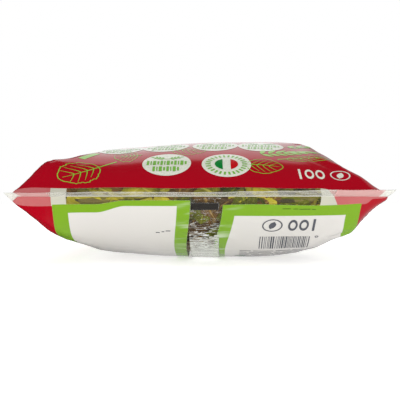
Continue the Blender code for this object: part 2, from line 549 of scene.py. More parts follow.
def math_node(tree, operation, first, second=0.0, third=0.0, clamp=False):
    """The result of one sum on sockets or numbers."""
    values = {0: first, 1: second, 2: third}
    if operation in ("ABSOLUTE", "SQRT", "SINE", "FRACT"):
        values = {0: first}
    elif operation not in ("MULTIPLY_ADD", "COMPARE", "SMOOTH_MIN"):
        values = {0: first, 1: second}
    return add_node(tree, "ShaderNodeMath", values, operation=operation, use_clamp=clamp).outputs[0]


def mixed(tree, share, first, second):
    """One colour over another."""
    node = add_node(tree, "ShaderNodeMix", {0: share, 6: first, 7: second}, data_type="RGBA")
    return node.outputs[2]


def smooth_share(tree, value, low, high, start=0.0, end=1.0):
    """A smooth change from start to end as the value goes from low to high."""
    node = add_node(
        tree,
        "ShaderNodeMapRange",
        {0: value, 1: low, 2: high, 3: start, 4: end},
        interpolation_type="SMOOTHSTEP",
    )
    return node.outputs[0]


def new_group(name, inputs, outputs):
    """A shader group with float inputs and its outputs, as its tree and its two end nodes."""
    tree = bpy.data.node_groups.new(name, "ShaderNodeTree")
    for socket, value in inputs.items():
        made = tree.interface.new_socket(socket, in_out="INPUT", socket_type="NodeSocketFloat")
        made.default_value = value
    for socket, kind in outputs.items():
        tree.interface.new_socket(socket, in_out="OUTPUT", socket_type=kind)
    return tree, tree.nodes.new("NodeGroupInput").outputs, tree.nodes.new("NodeGroupOutput").inputs


def use_group(tree, group, values, output=0):
    """One output of a group placed in a material with its own values."""
    node = add_node(tree, "ShaderNodeGroup", node_tree=group)
    for name, value in values.items():
        if isinstance(value, bpy.types.NodeSocket):
            tree.links.new(value, node.inputs[name])
        else:
            node.inputs[name].default_value = value
    return node.outputs[output]


def new_material(name, gloss):
    """A material with an empty tree, its shader and the roughness of its surface."""
    material = bpy.data.materials.new(name)
    material.use_nodes = True
    shader = material.node_tree.nodes["Principled BSDF"]
    shader.inputs["Roughness"].default_value = gloss
    return material, material.node_tree, shader


# %% A field of ink as a group
def field_group():
    """Mask of one field of ink, 1 inside: its place is its middle and its half sides in metres."""
    names = ("Across", "Along", "Middle across", "Middle along", "Half width", "Half length", "Corner")
    tree, value, result = new_group(
        "ink_field", dict.fromkeys(names, 0.0), {"Mask": "NodeSocketFloat"}
    )
    sides = []
    for axis, middle, half in (
        ("Across", "Middle across", "Half width"),
        ("Along", "Middle along", "Half length"),
    ):
        off = math_node(tree, "SUBTRACT", value[axis], value[middle])
        past = math_node(tree, "SUBTRACT", math_node(tree, "ABSOLUTE", off), value[half])
        sides.append(math_node(tree, "ADD", past, value["Corner"]))
    beyond = [math_node(tree, "MAXIMUM", side, 0.0) for side in sides]
    squares = [math_node(tree, "MULTIPLY", side, side) for side in beyond]
    corner = math_node(tree, "SQRT", math_node(tree, "ADD", squares[0], squares[1]))
    within = math_node(tree, "MINIMUM", math_node(tree, "MAXIMUM", sides[0], sides[1]), 0.0)
    distance = math_node(tree, "SUBTRACT", math_node(tree, "ADD", corner, within), value["Corner"])
    tree.links.new(smooth_share(tree, distance, -0.12 * MM, 0.12 * MM, 1.0, 0.0), result["Mask"])
    return tree


# %% The small creases of thin film as a group
def crinkle_group():
    """Heights of fine creases: gathers that run in from the seals, and slow waves."""
    tree, value, result = new_group(
        "film_crinkle", {"Across": 0.0, "Along": 0.0, "Gather": 1.0}, {"Height": "NodeSocketFloat"}
    )
    run = math_node(tree, "SUBTRACT", HALF_FILM, math_node(tree, "ABSOLUTE", value["Along"]))
    place = add_node(tree, "ShaderNodeCombineXYZ", {0: value["Across"], 1: value["Along"]}).outputs[0]
    stretch = add_node(tree, "ShaderNodeVectorMath", {0: place, 1: (160.0, 14.0, 1.0)}, operation="MULTIPLY")
    gathers = add_node(tree, "ShaderNodeTexNoise", {"Vector": stretch.outputs[0], "Scale": 1.0, "Detail": 3.0})
    near_seal = smooth_share(tree, run, 0.0, 45.0 * MM, 1.0, 0.0)
    gather = math_node(tree, "MULTIPLY", math_node(tree, "MULTIPLY", gathers.outputs[0], near_seal), value["Gather"])
    waves = add_node(tree, "ShaderNodeTexNoise", {"Vector": place, "Scale": 45.0, "Detail": 2.0})
    height = math_node(tree, "MULTIPLY_ADD", waves.outputs[0], 0.8, gather)
    tree.links.new(height, result["Height"])
    return tree


INK_FIELD = field_group()
CRINKLE = crinkle_group()
print("groups:", INK_FIELD.name, CRINKLE.name)

# %% [markdown]
# ## Where the print goes
#
# The front is red from fold to fold and a little round the folds, with a wide window in
# its upper half. The back has a green frame with a white panel on each side of the weld,
# and clear film between. A strip along both seals stays clear, because ink would spoil
# the weld. `back` gives a place on the back from its distance right of the weld.

# %% Fields of the print
SHEET_LENGTH = FLAT_LENGTH
RED = linear(166, 0, 24)
FRAME_GREEN = linear(120, 164, 32)
PANEL_WHITE = linear(213, 210, 206)
INNER_COAT = linear(232, 228, 214)
THIN_RED = linear(192, 100, 102)
BARE_COAT = linear(210, 209, 193)
CLEAR_BAND = 7.4 * MM
EDGE_WAVE = 0.5 * MM
INK_PASSES = 0.4
RED_FROM = 87.5 * MM
RED_TO = 364.0 * MM


def back(right):
    """Distance across the sheet of a place on the back, this far right of the weld."""
    return -right if right <= 0.0 else GIRTH - right


def sheet_place(tree):
    """Across and along on the flat sheet, in metres, from the piece's own map."""
    uv = add_node(tree, "ShaderNodeUVMap", uv_map="sheet").outputs[0]
    parts = add_node(tree, "ShaderNodeSeparateXYZ", {0: uv}).outputs
    across = math_node(tree, "MULTIPLY", parts[0], GIRTH)
    along = math_node(tree, "MULTIPLY_ADD", parts[1], SHEET_LENGTH, -SHEET_LENGTH / 2.0)
    return across, along


def field(tree, across, along, sides, ends, corner=0.0):
    """Mask of a field between two sides across the sheet and two ends along it."""
    low, high = sorted(sides)
    values = {"Across": across, "Along": along, "Corner": corner}
    values["Middle across"] = (low + high) / 2.0
    values["Half width"] = (high - low) / 2.0
    values["Middle along"] = (ends[0] + ends[1]) / 2.0
    values["Half length"] = (ends[1] - ends[0]) / 2.0
    return use_group(tree, INK_FIELD, values)


def either(tree, first, second):
    """The mask of two fields together."""
    return math_node(tree, "MAXIMUM", first, second)


def thin_red(tree, across, size):
    """Strips along both folds where the red runs on thinly through the seals."""
    left = field(tree, across, size, (LEFT_FOLD - 27.0 * MM, LEFT_FOLD + 26.5 * MM), (-1.0, 1.0))
    run = math_node(tree, "SUBTRACT", HALF_FILM, size)
    leaning = math_node(tree, "MULTIPLY_ADD", math_node(tree, "MAXIMUM", run, 0.0), 0.4, across)
    right = field(tree, leaning, size, (RIGHT_FOLD - 36.0 * MM, RIGHT_FOLD + 36.0 * MM), (-1.0, 1.0))
    return either(tree, left, right)


def bare_coat(tree, across, size):
    """Strips beside the thin red where only the white coat is printed."""
    left = field(tree, across, size, (LEFT_FOLD - 36.0 * MM, LEFT_FOLD + 36.0 * MM), (-1.0, 1.0))
    right = field(tree, across, size, (RIGHT_FOLD - 43.0 * MM, RIGHT_FOLD + 43.5 * MM), (-1.0, 1.0))
    return either(tree, left, right)


def weld_glare_streaks(tree, across, along):
    """Painted highlight: pale glare streaks on the film beside the weld down the back, where the weld has pulled it
    tight.
    """
    wrapped = math_node(tree, "FRACT", math_node(tree, "ADD", math_node(tree, "DIVIDE", across, GIRTH), 0.5))
    right = math_node(tree, "MULTIPLY", math_node(tree, "SUBTRACT", 0.5, wrapped), GIRTH)
    lean = math_node(tree, "MULTIPLY_ADD", right, 0.12, along)
    place = add_node(tree, "ShaderNodeCombineXYZ", {0: right, 1: lean}).outputs[0]
    long = add_node(tree, "ShaderNodeVectorMath", {0: place, 1: (26.0, 150.0, 1.0)}, operation="MULTIPLY").outputs[0]
    noise_value = add_node(tree, "ShaderNodeTexNoise", {"Vector": long, "Scale": 1.0, "Detail": 2.0}).outputs[0]
    glare_streak = smooth_share(tree, noise_value, 0.5, 0.72, 0.0, 0.42)
    off = math_node(tree, "ABSOLUTE", math_node(tree, "SUBTRACT", right, 4.0 * MM))
    return math_node(tree, "MULTIPLY", glare_streak, smooth_share(tree, off, 9.0 * MM, 24.0 * MM, 1.0, 0.0))


# %% The printed film
def printed_film():
    """Clear film with red, green and white ink on it."""
    material, tree, shader = new_material("printed_film", 0.13)
    shader.inputs["IOR"].default_value = 1.4
    across, along = sheet_place(tree)
    size = math_node(tree, "ABSOLUTE", along)
    turns = math_node(tree, "MULTIPLY_ADD", across, 2.0 * math.pi / 0.07, -2.0 * math.pi * 0.1295 / 0.07)
    wavy = math_node(tree, "MULTIPLY_ADD", math_node(tree, "SINE", turns), -EDGE_WAVE, size)
    reach = math_node(
        tree,
        "ADD",
        smooth_share(tree, across, 301.0 * MM, 313.0 * MM, 0.0, 2.6 * MM),
        smooth_share(tree, across, 338.0 * MM, 345.0 * MM, 0.0, 1.6 * MM),
    )
    reach = math_node(tree, "MULTIPLY", reach, smooth_share(tree, across, 355.0 * MM, 362.0 * MM, 1.0, 0.0))
    ends = math_node(tree, "SUBTRACT", wavy, reach)
    red = field(tree, across, ends, (RED_FROM, RED_TO), (-HALF_FILM, HALF_FILM - CLEAR_BAND))
    thin = thin_red(tree, across, size)
    coat = bare_coat(tree, across, size)
    window = field(
        tree, across, along, (FRONT_MIDDLE - 84 * MM, FRONT_MIDDLE + 84 * MM), (-26 * MM, 72 * MM), 24 * MM
    )
    red = math_node(tree, "SUBTRACT", red, window, clamp=True)
    bunched = smooth_share(tree, across, 44.0 * MM, 62.0 * MM, 0.0, 1.0)
    left_out = math_node(tree, "MULTIPLY_ADD", bunched, 3.0 * MM, size)
    left_in = math_node(tree, "MULTIPLY_ADD", bunched, 5.5 * MM, size)
    inward = smooth_share(tree, size, HALF_FILM - 65.0 * MM, HALF_FILM - 8.0 * MM, 1.0, 0.0)
    by_left = math_node(tree, "MULTIPLY", inward, smooth_share(tree, across, 10 * MM, 40 * MM, 2.5 * MM, 0.0))
    left = math_node(tree, "SUBTRACT", across, by_left)
    by_right = smooth_share(tree, across, GIRTH - 60 * MM, GIRTH - 24 * MM, 0.0, 5.0 * MM)
    right = math_node(tree, "SUBTRACT", across, math_node(tree, "MULTIPLY", inward, by_right))
    masks = [
        field(tree, left, left_out, (back(-87.5 * MM), back(-5.6 * MM)), (-HALF_FILM, HALF_FILM - 3 * MM)),
        field(tree, right, wavy, (back(13.8 * MM), back(96 * MM)), (-HALF_FILM, HALF_FILM - 6.5 * MM)),
    ]
    green = math_node(tree, "MAXIMUM", masks[0], masks[1])
    panels = [
        field(tree, left, left_in, (back(-78.4 * MM), back(-13.5 * MM)), (-HALF_FILM, HALF_FILM - 7.5 * MM)),
        field(tree, right, size, (back(21.5 * MM), back(87.8 * MM)), (-HALF_FILM, HALF_FILM - 15.8 * MM)),
    ]
    white = math_node(tree, "MAXIMUM", panels[0], panels[1])
    ink = either(tree, either(tree, red, green), white)
    colour = mixed(tree, coat, linear(236, 238, 228), BARE_COAT)
    colour = mixed(tree, thin, colour, THIN_RED)
    colour = mixed(tree, green, mixed(tree, red, colour, RED), FRAME_GREEN)
    colour = mixed(tree, white, colour, PANEL_WHITE)
    # Painted highlight: pale glare streaks beside the weld are mixed into the colour.
    colour = mixed(tree, weld_glare_streaks(tree, across, along), colour, linear(250, 250, 246))
    inside = add_node(tree, "ShaderNodeNewGeometry").outputs["Backfacing"]
    pale = math_node(tree, "MULTIPLY", inside, math_node(tree, "MULTIPLY", ink, 0.85))
    colour = mixed(tree, pale, colour, INNER_COAT)
    tree.links.new(colour, shader.inputs["Base Color"])
    rim = add_node(tree, "ShaderNodeLayerWeight", {"Blend": 0.35}).outputs["Facing"]
    clear = smooth_share(tree, rim, 0.4, 1.0, 0.02, 0.3)
    alpha = math_node(tree, "MAXIMUM", ink, clear)
    faint = either(tree, math_node(tree, "MULTIPLY", thin, 0.9), math_node(tree, "MULTIPLY", coat, 0.8))
    near_end = smooth_share(tree, size, HALF_FILM - 20.0 * MM, HALF_FILM - 19.0 * MM)
    alpha = either(tree, alpha, math_node(tree, "MULTIPLY", faint, near_end))
    bounced = add_node(tree, "ShaderNodeLightPath").outputs["Is Diffuse Ray"]
    passed = math_node(tree, "SUBTRACT", 1.0, math_node(tree, "MULTIPLY", bounced, INK_PASSES))
    tree.links.new(math_node(tree, "MULTIPLY", alpha, passed), shader.inputs["Alpha"])
    height = use_group(tree, CRINKLE, {"Across": across, "Along": along, "Gather": 1.0})
    bump = add_node(tree, "ShaderNodeBump", {"Height": height, "Strength": 0.5, "Distance": 0.35 * MM})
    tree.links.new(bump.outputs[0], shader.inputs["Normal"])
    return material


def close_ends(piece):
    """Joins the front and back of a tube along both seal lines."""
    mesh = bmesh.new()
    mesh.from_mesh(piece.data)
    rims = [v for v in mesh.verts if v.is_boundary]
    bmesh.ops.remove_doubles(mesh, verts=rims, dist=0.02 * MM)
    open_edges = sum(e.is_boundary for e in mesh.edges)
    mesh.to_mesh(piece.data)
    mesh.free()
    return open_edges


def sheet_map(piece, order, length):
    """Gives a tube the map of its flat sheet: 0 to 1 round the girth and along the sheet."""
    rows, columns = order.shape
    place = np.zeros((order.size, 2))
    place[order.ravel(), 0] = np.tile(np.arange(columns) / columns, rows)
    place[order.ravel(), 1] = np.repeat(0.5 + np.linspace(-0.5, 0.5, rows) * length / SHEET_LENGTH, columns)
    corners = np.zeros(len(piece.data.loops), int)
    piece.data.loops.foreach_get("vertex_index", corners)
    uv = place[corners]
    across = uv[:, 0].reshape(-1, 4)
    across[(np.ptp(across, axis=1) > 0.5)[:, None] & (across < 0.5)] += 1.0
    layer = piece.data.uv_layers.new(name="sheet")
    layer.data.foreach_set("uv", uv.ravel())


def finish_piece(piece, material, smooth=True):
    """The last steps of every piece: its material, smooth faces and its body."""
    piece.data.materials.append(material)
    piece.data.polygons.foreach_set("use_smooth", [smooth] * len(piece.data.polygons))
    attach(piece, "root")
    piece.data.update()
    return piece


film, film_order = tube_of_film("film", FILM_COLUMNS, FILM_ROWS)
sheet_map(film, film_order, 2.0 * HALF_FILM)
put(film, film_order, film_grid)
print("open edges left on the film:", close_ends(film))
finish_piece(film, printed_film())
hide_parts("salad_bag")

# %% [markdown]
# ## The leaves
#
# A hundred grams of washed leaves is some hundred and fifty leaves of a few kinds, loosely
# packed. Only those next to the film ever show, so those are real leaves, each a small
# grid trimmed to an outline, cupped and frilled. They are laid out on the flat sheet and
# sunk a few millimetres under the film, so none of them can poke through it. What lies
# deeper is one uneven core with the colours of leaves in shade.

# %% One leaf
LEAF_ROWS = 11
LEAF_COLUMNS = 6
LEAF_THICKNESS = 0.35 * MM
CLEAR_OF_FOLDS = 0.97


def leaf_kind(count, length, width, frill, cup, stalk, seed, pale=False):
    """The habit of one kind of leaf: lengths in metres, and width, frill and cup as shares of them."""
    kind = dict(count=count, length=length, width=width, frill=frill, cup=cup, stalk=stalk, seed=seed)
    # Painted shade: pale kinds are kept from the middle of the back, and a share of the darker kinds lies there, so
    # that dark leaves stand in for the shade under the bag.
    kind["lies"] = FRONT_MIDDLE if pale else 0.0
    kind["shy_of"] = 0.0 if pale else -GIRTH
    return kind


def leaf_places(kind, rng, size):
    """Along, across and height of one leaf's grid, and its share from base to tip."""
    length = rng.uniform(*kind["length"]) * size
    width = length * rng.uniform(*kind["width"])
    tip = np.linspace(0.0, 1.0, LEAF_ROWS + 1)[:, None] + np.zeros(LEAF_COLUMNS + 1)
    side = np.linspace(-1.0, 1.0, LEAF_COLUMNS + 1)[None, :] + np.zeros((LEAF_ROWS + 1, 1))
    blade = np.clip((tip - kind["stalk"]) / (1.0 - kind["stalk"]), 0.0, 1.0)
    outline = np.sin(math.pi * blade**0.8) ** 0.7
    outline = np.maximum(outline, np.where(tip < 0.97, 0.07, 0.0))
    wobble = 1.0 + 0.12 * np.sin(rng.uniform(9, 14) * tip + rng.uniform(0, 6)) * np.abs(side)
    across = side * outline * wobble * width / 2.0
    along = (tip - 0.5) * length
    across = across + rng.uniform(-0.2, 0.2) * length * (tip - 0.5) ** 2
    ruffle = np.sin(rng.uniform(16, 26) * tip + rng.uniform(0, 6) + 2.0 * side) * np.abs(side) ** 2
    height = kind["frill"] * width * ruffle * outline
    height = height + rng.uniform(*kind["cup"]) * width * side**2 * outline
    height = height + rng.uniform(-0.10, 0.10) * length * (2.0 * tip - 1.0) ** 2
    return along, across, height, tip, side


def add_leaf(mesh, kind, rng, place, tone_layer, uv_layer):
    """Adds one leaf to a mesh, under the film at this place, angle and depth of the flat sheet."""
    middle_across, middle_along, angle, sink, reach, size = place
    along, across, height, tip, side = leaf_places(kind, rng, size)
    sheet_across = middle_across + np.cos(angle) * along - np.sin(angle) * across
    sheet_along = middle_along + np.sin(angle) * along + np.cos(angle) * across
    sheet_along = np.clip(sheet_along, -HALF_FILM + 1.5 * MM, HALF_FILM - 1.5 * MM)
    run = HALF_FILM - np.abs(sheet_along)
    face = np.where((middle_across > LEFT_FOLD) & (middle_across < RIGHT_FOLD), FRONT_MIDDLE, 0.0)
    face = np.where(middle_across >= RIGHT_FOLD, GIRTH, face)
    room = reach + 0.15 * run
    on_front = 1.0 if LEFT_FOLD < middle_across < RIGHT_FOLD else -1.0
    off = np.clip(sheet_across - face, -room - 3.5 * MM * on_front, room - 3.5 * MM * on_front)
    sheet_across = np.where(run < 60.0 * MM, face + off, sheet_across)
    depth = sink + height - height.min()
    points = in_bag(sheet_across.ravel(), sheet_along.ravel(), depth.ravel())
    points[:, 0] *= CLEAR_OF_FOLDS
    made = bmesh.ops.create_grid(mesh, x_segments=LEAF_COLUMNS, y_segments=LEAF_ROWS, size=1.0)["verts"]
    tone = rng.random()
    for vert in made:
        column = round((vert.co.x + 1.0) / 2.0 * LEAF_COLUMNS)
        row = round((vert.co.y + 1.0) / 2.0 * LEAF_ROWS)
        vert.co = points[row * (LEAF_COLUMNS + 1) + column]
        vert[tone_layer] = (tone, tip[row, column], abs(side[row, column]), 1.0)
        for loop in vert.link_loops:
            loop[uv_layer].uv = (0.5 + 0.5 * side[row, column], tip[row, column])


def leaf_spots(kind, rng):
    """Where leaves lie: some anywhere under the film, more where it is clear."""
    spots = []
    for number in range(kind["count"]):
        angle = rng.uniform(0.0, 2.0 * math.pi)
        sink = rng.uniform(0.8, 7.5) * MM
        reach = rng.uniform(76.0, 86.0) * MM
        where = number % 7
        size = 0.5 if where < 3 else 1.0
        if where < 3:
            face = rng.choice((0.0, FRONT_MIDDLE))
            across = face + rng.uniform(-78.0, 74.0) * MM
            along = rng.choice((-1.0, -1.0, 1.0)) * (HALF_FILM - rng.uniform(4.0, 20.0) * MM)
            # Painted shade: pale leaves move away from the middle of the back, where darker leaves stand in for shade.
            if abs(across - kind["shy_of"]) < 22.0 * MM:
                across += 44.0 * MM
        elif where == 3:
            across = kind["lies"] + rng.uniform(-14.0, 10.0) * MM
            along = rng.uniform(-100.0, 100.0) * MM
        elif where < 6:
            across = FRONT_MIDDLE + rng.uniform(-88.0, 88.0) * MM
            along = rng.uniform(-34.0, 78.0) * MM
        else:
            across = rng.uniform(0.0, GIRTH)
            along = rng.uniform(-88.0, 88.0) * MM
        spots.append((across % GIRTH, along, angle, sink, reach, size))
    return spots


def leaves(name, kind, material):
    """All the leaves of one kind, as one piece."""
    rng = random.Random(kind["seed"])
    mesh = bmesh.new()
    tone_layer = mesh.verts.layers.float_color.new("tone")
    uv_layer = mesh.loops.layers.uv.new("blade")
    for place in leaf_spots(kind, rng):
        add_leaf(mesh, kind, rng, place, tone_layer, uv_layer)
    data = bpy.data.meshes.new(name)
    mesh.to_mesh(data)
    mesh.free()
    piece = bpy.data.objects.new(name, data)
    bpy.context.scene.collection.objects.link(piece)
    thickness = piece.modifiers.new("thickness", "SOLIDIFY")
    thickness.thickness = LEAF_THICKNESS
    thickness.offset = 0.0
    finish_piece(piece, material)
    print(name, "has", kind["count"], "leaves and", len(data.polygons), "faces")
    return piece


# %% [markdown]
# ## What a leaf looks like close to
#
# A leaf's colour runs from pale at the rib to deep between the veins, with slow blotches
# over it and a tone of its own. The veins come from the blade's own map, so they bend
# with the leaf. All three kinds share one group for this and differ in their colours.

# %% Leaf colouring as a group
def vein_group():
    """Masks of a leaf's ribs and of its blotches."""
    tree, value, result = new_group(
        "leaf_veins", {"Side": 0.0, "Tip": 0.0}, {"Rib": "NodeSocketFloat", "Blotch": "NodeSocketFloat"}
    )
    off = math_node(tree, "ABSOLUTE", math_node(tree, "MULTIPLY_ADD", value["Side"], 2.0, -1.0))
    middle = smooth_share(tree, off, 0.03, 0.14, 1.0, 0.0)
    slant = math_node(tree, "SUBTRACT", value["Tip"], math_node(tree, "MULTIPLY", off, 0.35))
    wave = math_node(tree, "SINE", math_node(tree, "MULTIPLY", slant, 44.0))
    side_veins = smooth_share(tree, wave, 0.86, 1.0, 0.0, 0.6)
    tree.links.new(math_node(tree, "MAXIMUM", middle, side_veins), result["Rib"])
    place = add_node(tree, "ShaderNodeTexCoord").outputs["Object"]
    blotch = add_node(tree, "ShaderNodeTexNoise", {"Vector": place, "Scale": 95.0, "Detail": 4.0})
    tree.links.new(smooth_share(tree, blotch.outputs[0], 0.35, 0.65), result["Blotch"])
    return tree


LEAF_VEINS = vein_group()


def leaf_material(name, deep, light, rib, gloss):
    """Leaf colour between a deep and a light tone, with paler ribs."""
    material, tree, shader = new_material(name, gloss)
    shader.inputs["Specular IOR Level"].default_value = 0.15
    uv = add_node(tree, "ShaderNodeUVMap", uv_map="blade").outputs[0]
    parts = add_node(tree, "ShaderNodeSeparateXYZ", {0: uv}).outputs
    group = add_node(tree, "ShaderNodeGroup", node_tree=LEAF_VEINS)
    tree.links.new(parts[0], group.inputs["Side"])
    tree.links.new(parts[1], group.inputs["Tip"])
    tone = add_node(tree, "ShaderNodeAttribute", attribute_name="tone").outputs["Color"]
    own = add_node(tree, "ShaderNodeSeparateColor", {0: tone}).outputs[0]
    share = math_node(tree, "MULTIPLY_ADD", group.outputs["Blotch"], 0.45, math_node(tree, "MULTIPLY", own, 0.55))
    colour = mixed(tree, share, deep, light)
    colour = mixed(tree, math_node(tree, "MULTIPLY", group.outputs["Rib"], 0.55), colour, rib)
    tree.links.new(colour, shader.inputs["Base Color"])
    relief = math_node(tree, "MULTIPLY_ADD", group.outputs["Rib"], -0.6, group.outputs["Blotch"])
    bump = add_node(tree, "ShaderNodeBump", {"Height": relief, "Strength": 0.6, "Distance": 0.6 * MM})
    tree.links.new(bump.outputs[0], shader.inputs["Normal"])
    return material


# %% The kinds of leaf
LETTUCE = leaf_kind(230, (42 * MM, 72 * MM), (0.55, 0.85), 0.05, (-0.12, 0.16), 0.06, 11, pale=True)
OVAL_LEAF = leaf_kind(150, (34 * MM, 60 * MM), (0.45, 0.62), 0.015, (-0.10, 0.12), 0.22, 23)
RED_LEAF = leaf_kind(115, (40 * MM, 66 * MM), (0.5, 0.8), 0.045, (-0.12, 0.16), 0.08, 37)
leaves(
    "leaves_lettuce",
    LETTUCE,
    leaf_material("lettuce", linear(72, 74, 4), linear(202, 186, 50), linear(214, 200, 92), 0.5),
)
leaves(
    "leaves_dark",
    OVAL_LEAF,
    leaf_material("dark_leaf", linear(42, 46, 3), linear(106, 110, 14), linear(150, 152, 42), 0.5),
)
leaves(
    "leaves_red",
    RED_LEAF,
    leaf_material("red_leaf", linear(60, 40, 18), linear(124, 88, 38), linear(166, 134, 66), 0.5),
)

# %% [markdown]
# ## The core of the heap
#
# The core is the film's own form drawn in towards the middle of each section, narrower
# still near the seals, where a bag is empty at its corners. It is uneven, so gaps between
# the leaves show depth, and cell-like patches of leaf colours keep it from reading as a wall.

# %% The core
CORE_ROWS = 56
CORE_COLUMNS = 96
CORE_INSET = 9.0 * MM
CORE_RUN = 6.0 * MM
CORE_REACH = 72.0 * MM


def core_grid():
    """Rows of points inside the bag, drawn in from the film and roughened."""
    across = np.arange(CORE_COLUMNS) * GIRTH / CORE_COLUMNS
    rows = []
    for along in np.linspace(CORE_RUN - HALF_FILM, HALF_FILM - CORE_RUN, CORE_ROWS + 1):
        ring = look_up(film_grid, across, np.full(CORE_COLUMNS, along))
        run = HALF_FILM - abs(along)
        wide = np.abs(ring[:, 0]).max()
        widest = CORE_REACH + 0.15 * run + 0.8 * max(run - 60.0 * MM, 0.0)
        ring[:, 0] = ring[:, 0] * min(widest, wide - CORE_INSET) / wide - 2.5 * MM
        middle = (ring[:, 2].max() + ring[:, 2].min()) / 2.0
        half_height = np.ptp(ring[:, 2]) / 2.0
        ring[:, 2] = middle + (ring[:, 2] - middle) * max(1.0 - CORE_INSET / half_height, 0.55)
        rows.append(ring)
    return np.array(rows)


def core_material():
    """Patches of leaf colours in shade."""
    material, tree, shader = new_material("deep_leaves", 0.6)
    place = add_node(tree, "ShaderNodeTexCoord").outputs["Object"]
    bend = add_node(tree, "ShaderNodeTexNoise", {"Vector": place, "Scale": 40.0, "Detail": 2.0}).outputs["Color"]
    bent = add_node(tree, "ShaderNodeVectorMath", {0: bend, 1: (0.02, 0.02, 0.02), 2: place}, operation="MULTIPLY_ADD")
    patches = add_node(tree, "ShaderNodeTexVoronoi", {"Vector": bent.outputs[0], "Scale": 60.0})
    pick = add_node(tree, "ShaderNodeSeparateColor", {0: patches.outputs["Color"]}).outputs[0]
    ramp_node = add_node(tree, "ShaderNodeValToRGB", {0: pick})
    stops = ramp_node.color_ramp.elements
    stops[0].color = linear(54, 58, 16)
    stops[1].position = 0.8
    stops[1].color = linear(136, 130, 44)
    middle = stops.new(0.4)
    middle.color = linear(80, 58, 28)
    tree.links.new(ramp_node.outputs[0], shader.inputs["Base Color"])
    height = add_node(tree, "ShaderNodeTexNoise", {"Vector": place, "Scale": 160.0, "Detail": 3.0}).outputs[0]
    bump = add_node(tree, "ShaderNodeBump", {"Height": height, "Strength": 0.7, "Distance": 1.5 * MM})
    tree.links.new(bump.outputs[0], shader.inputs["Normal"])
    return material


def leaf_core():
    """The closed, uneven core."""
    grid = core_grid()
    rough = unevenness(grid, 11.0 * MM, 1.0)
    room = np.minimum(0.06 * np.ptp(grid[:, :, 2], axis=1), 2.2 * MM)
    grid += rough * room[:, None, None]
    piece, order = tube_of_film("leaf_core", CORE_COLUMNS, CORE_ROWS)
    put(piece, order, grid)
    mesh = bmesh.new()
    mesh.from_mesh(piece.data)
    made = bmesh.ops.holes_fill(mesh, edges=[e for e in mesh.edges if e.is_boundary])["faces"]
    bmesh.ops.triangulate(mesh, faces=made)
    mesh.to_mesh(piece.data)
    mesh.free()
    finish_piece(piece, core_material())
    print("core faces:", len(piece.data.polygons))
    return piece


leaf_core()

# %% [markdown]
# ## The two end seals
#
# A heated jaw with fine ribs presses the two films into one stiff strip, and a toothed
# knife cuts it off, so its end is a zigzag. The strip starts as a flat grid. Its outer row
# is pulled into teeth, the rest gets ribs, and the whole strip tilts up and waves a little,
# because a weld shrinks. A Solidify modifier gives it the thickness of two films.

# %% Seal strips
SEAL_THICKNESS = 0.22 * MM
SEAL_TILT = math.radians(11.5)
SEAL_SPREAD = 2.2 * MM
PALE_RED = linear(232, 188, 184)
RIB_PITCH = 1.5 * MM
RIB_HEIGHT = 0.16 * MM
TOOTH_PITCH = 2.0 * MM
TOOTH_DEPTH = 0.9 * MM
SEAL_COLUMNS = round(FLAT_WIDTH / (TOOTH_PITCH / 2.0))
SEAL_ROWS = 36


def seal_wave(across, side):
    """How far the free edge of a seal waves up or down at this distance from the middle."""
    rise = 1.4 * float(ramp(across, 10.0 * MM, 90.0 * MM)) if side < 0.0 else 0.0
    slow = noise.noise(Vector((across * 14.0, 3.0 * side, 0.0)))
    quick = noise.noise(Vector((across * 60.0, 7.0 * side, 1.0)))
    return (0.9 * slow + 0.5 * quick + rise) * MM


def corner_droop(across, side):
    """How far the root of the bottom seal hangs down at its left corner."""
    if side > 0.0:
        return 0.0
    return 2.6 * MM * float(ramp(-across, 111.5 * MM, 115.0 * MM))


def seal_strip(name, side, material):
    """One end seal: side is -1 for the bottom of the bag and 1 for the top."""
    mesh = bmesh.new()
    bmesh.ops.create_grid(mesh, x_segments=SEAL_COLUMNS, y_segments=SEAL_ROWS, size=1.0)
    uv_layer = mesh.loops.layers.uv.new("sheet")
    for vert in mesh.verts:
        column = round((vert.co.x + 1.0) / 2.0 * SEAL_COLUMNS)
        share = (vert.co.y + 1.0) / 2.0
        flat = vert.co.x * FLAT_WIDTH / 2.0
        pull = (CORNER_PULL - SEAL_SPREAD * share) * float(ramp(abs(flat), 88.0 * MM, 115.0 * MM))
        across = flat - math.copysign(pull, flat)
        run = share * SEAL_DEPTH
        if share > 0.99 and column % 2:
            run -= TOOTH_DEPTH
        for loop in vert.link_loops:
            loop[uv_layer].uv = ((FRONT_MIDDLE + flat) / GIRTH, 0.5 + side * (HALF_FILM + run) / SHEET_LENGTH)
        rib = math.sin(2.0 * math.pi * run / RIB_PITCH) * RIB_HEIGHT / 2.0
        edge = min(share * 8.0, 1.0)
        up = rib * edge + seal_wave(across, side) * share**1.5
        out = SEAL_LINE - 0.3 * MM + run * math.cos(SEAL_TILT) - up * math.sin(SEAL_TILT)
        height = RISE_BACK + run * math.sin(SEAL_TILT) + up * math.cos(SEAL_TILT)
        height -= corner_droop(flat, side) * (1.0 - share)
        vert.co = (across, side * out, height)
    bmesh.ops.recalc_face_normals(mesh, faces=mesh.faces)
    data = bpy.data.meshes.new(name)
    mesh.to_mesh(data)
    mesh.free()
    piece = bpy.data.objects.new(name, data)
    bpy.context.scene.collection.objects.link(piece)
    thickness = piece.modifiers.new("thickness", "SOLIDIFY")
    thickness.thickness = SEAL_THICKNESS
    thickness.offset = 0.0
    finish_piece(piece, material)
    print(name, "has", len(data.polygons), "faces")
    return piece


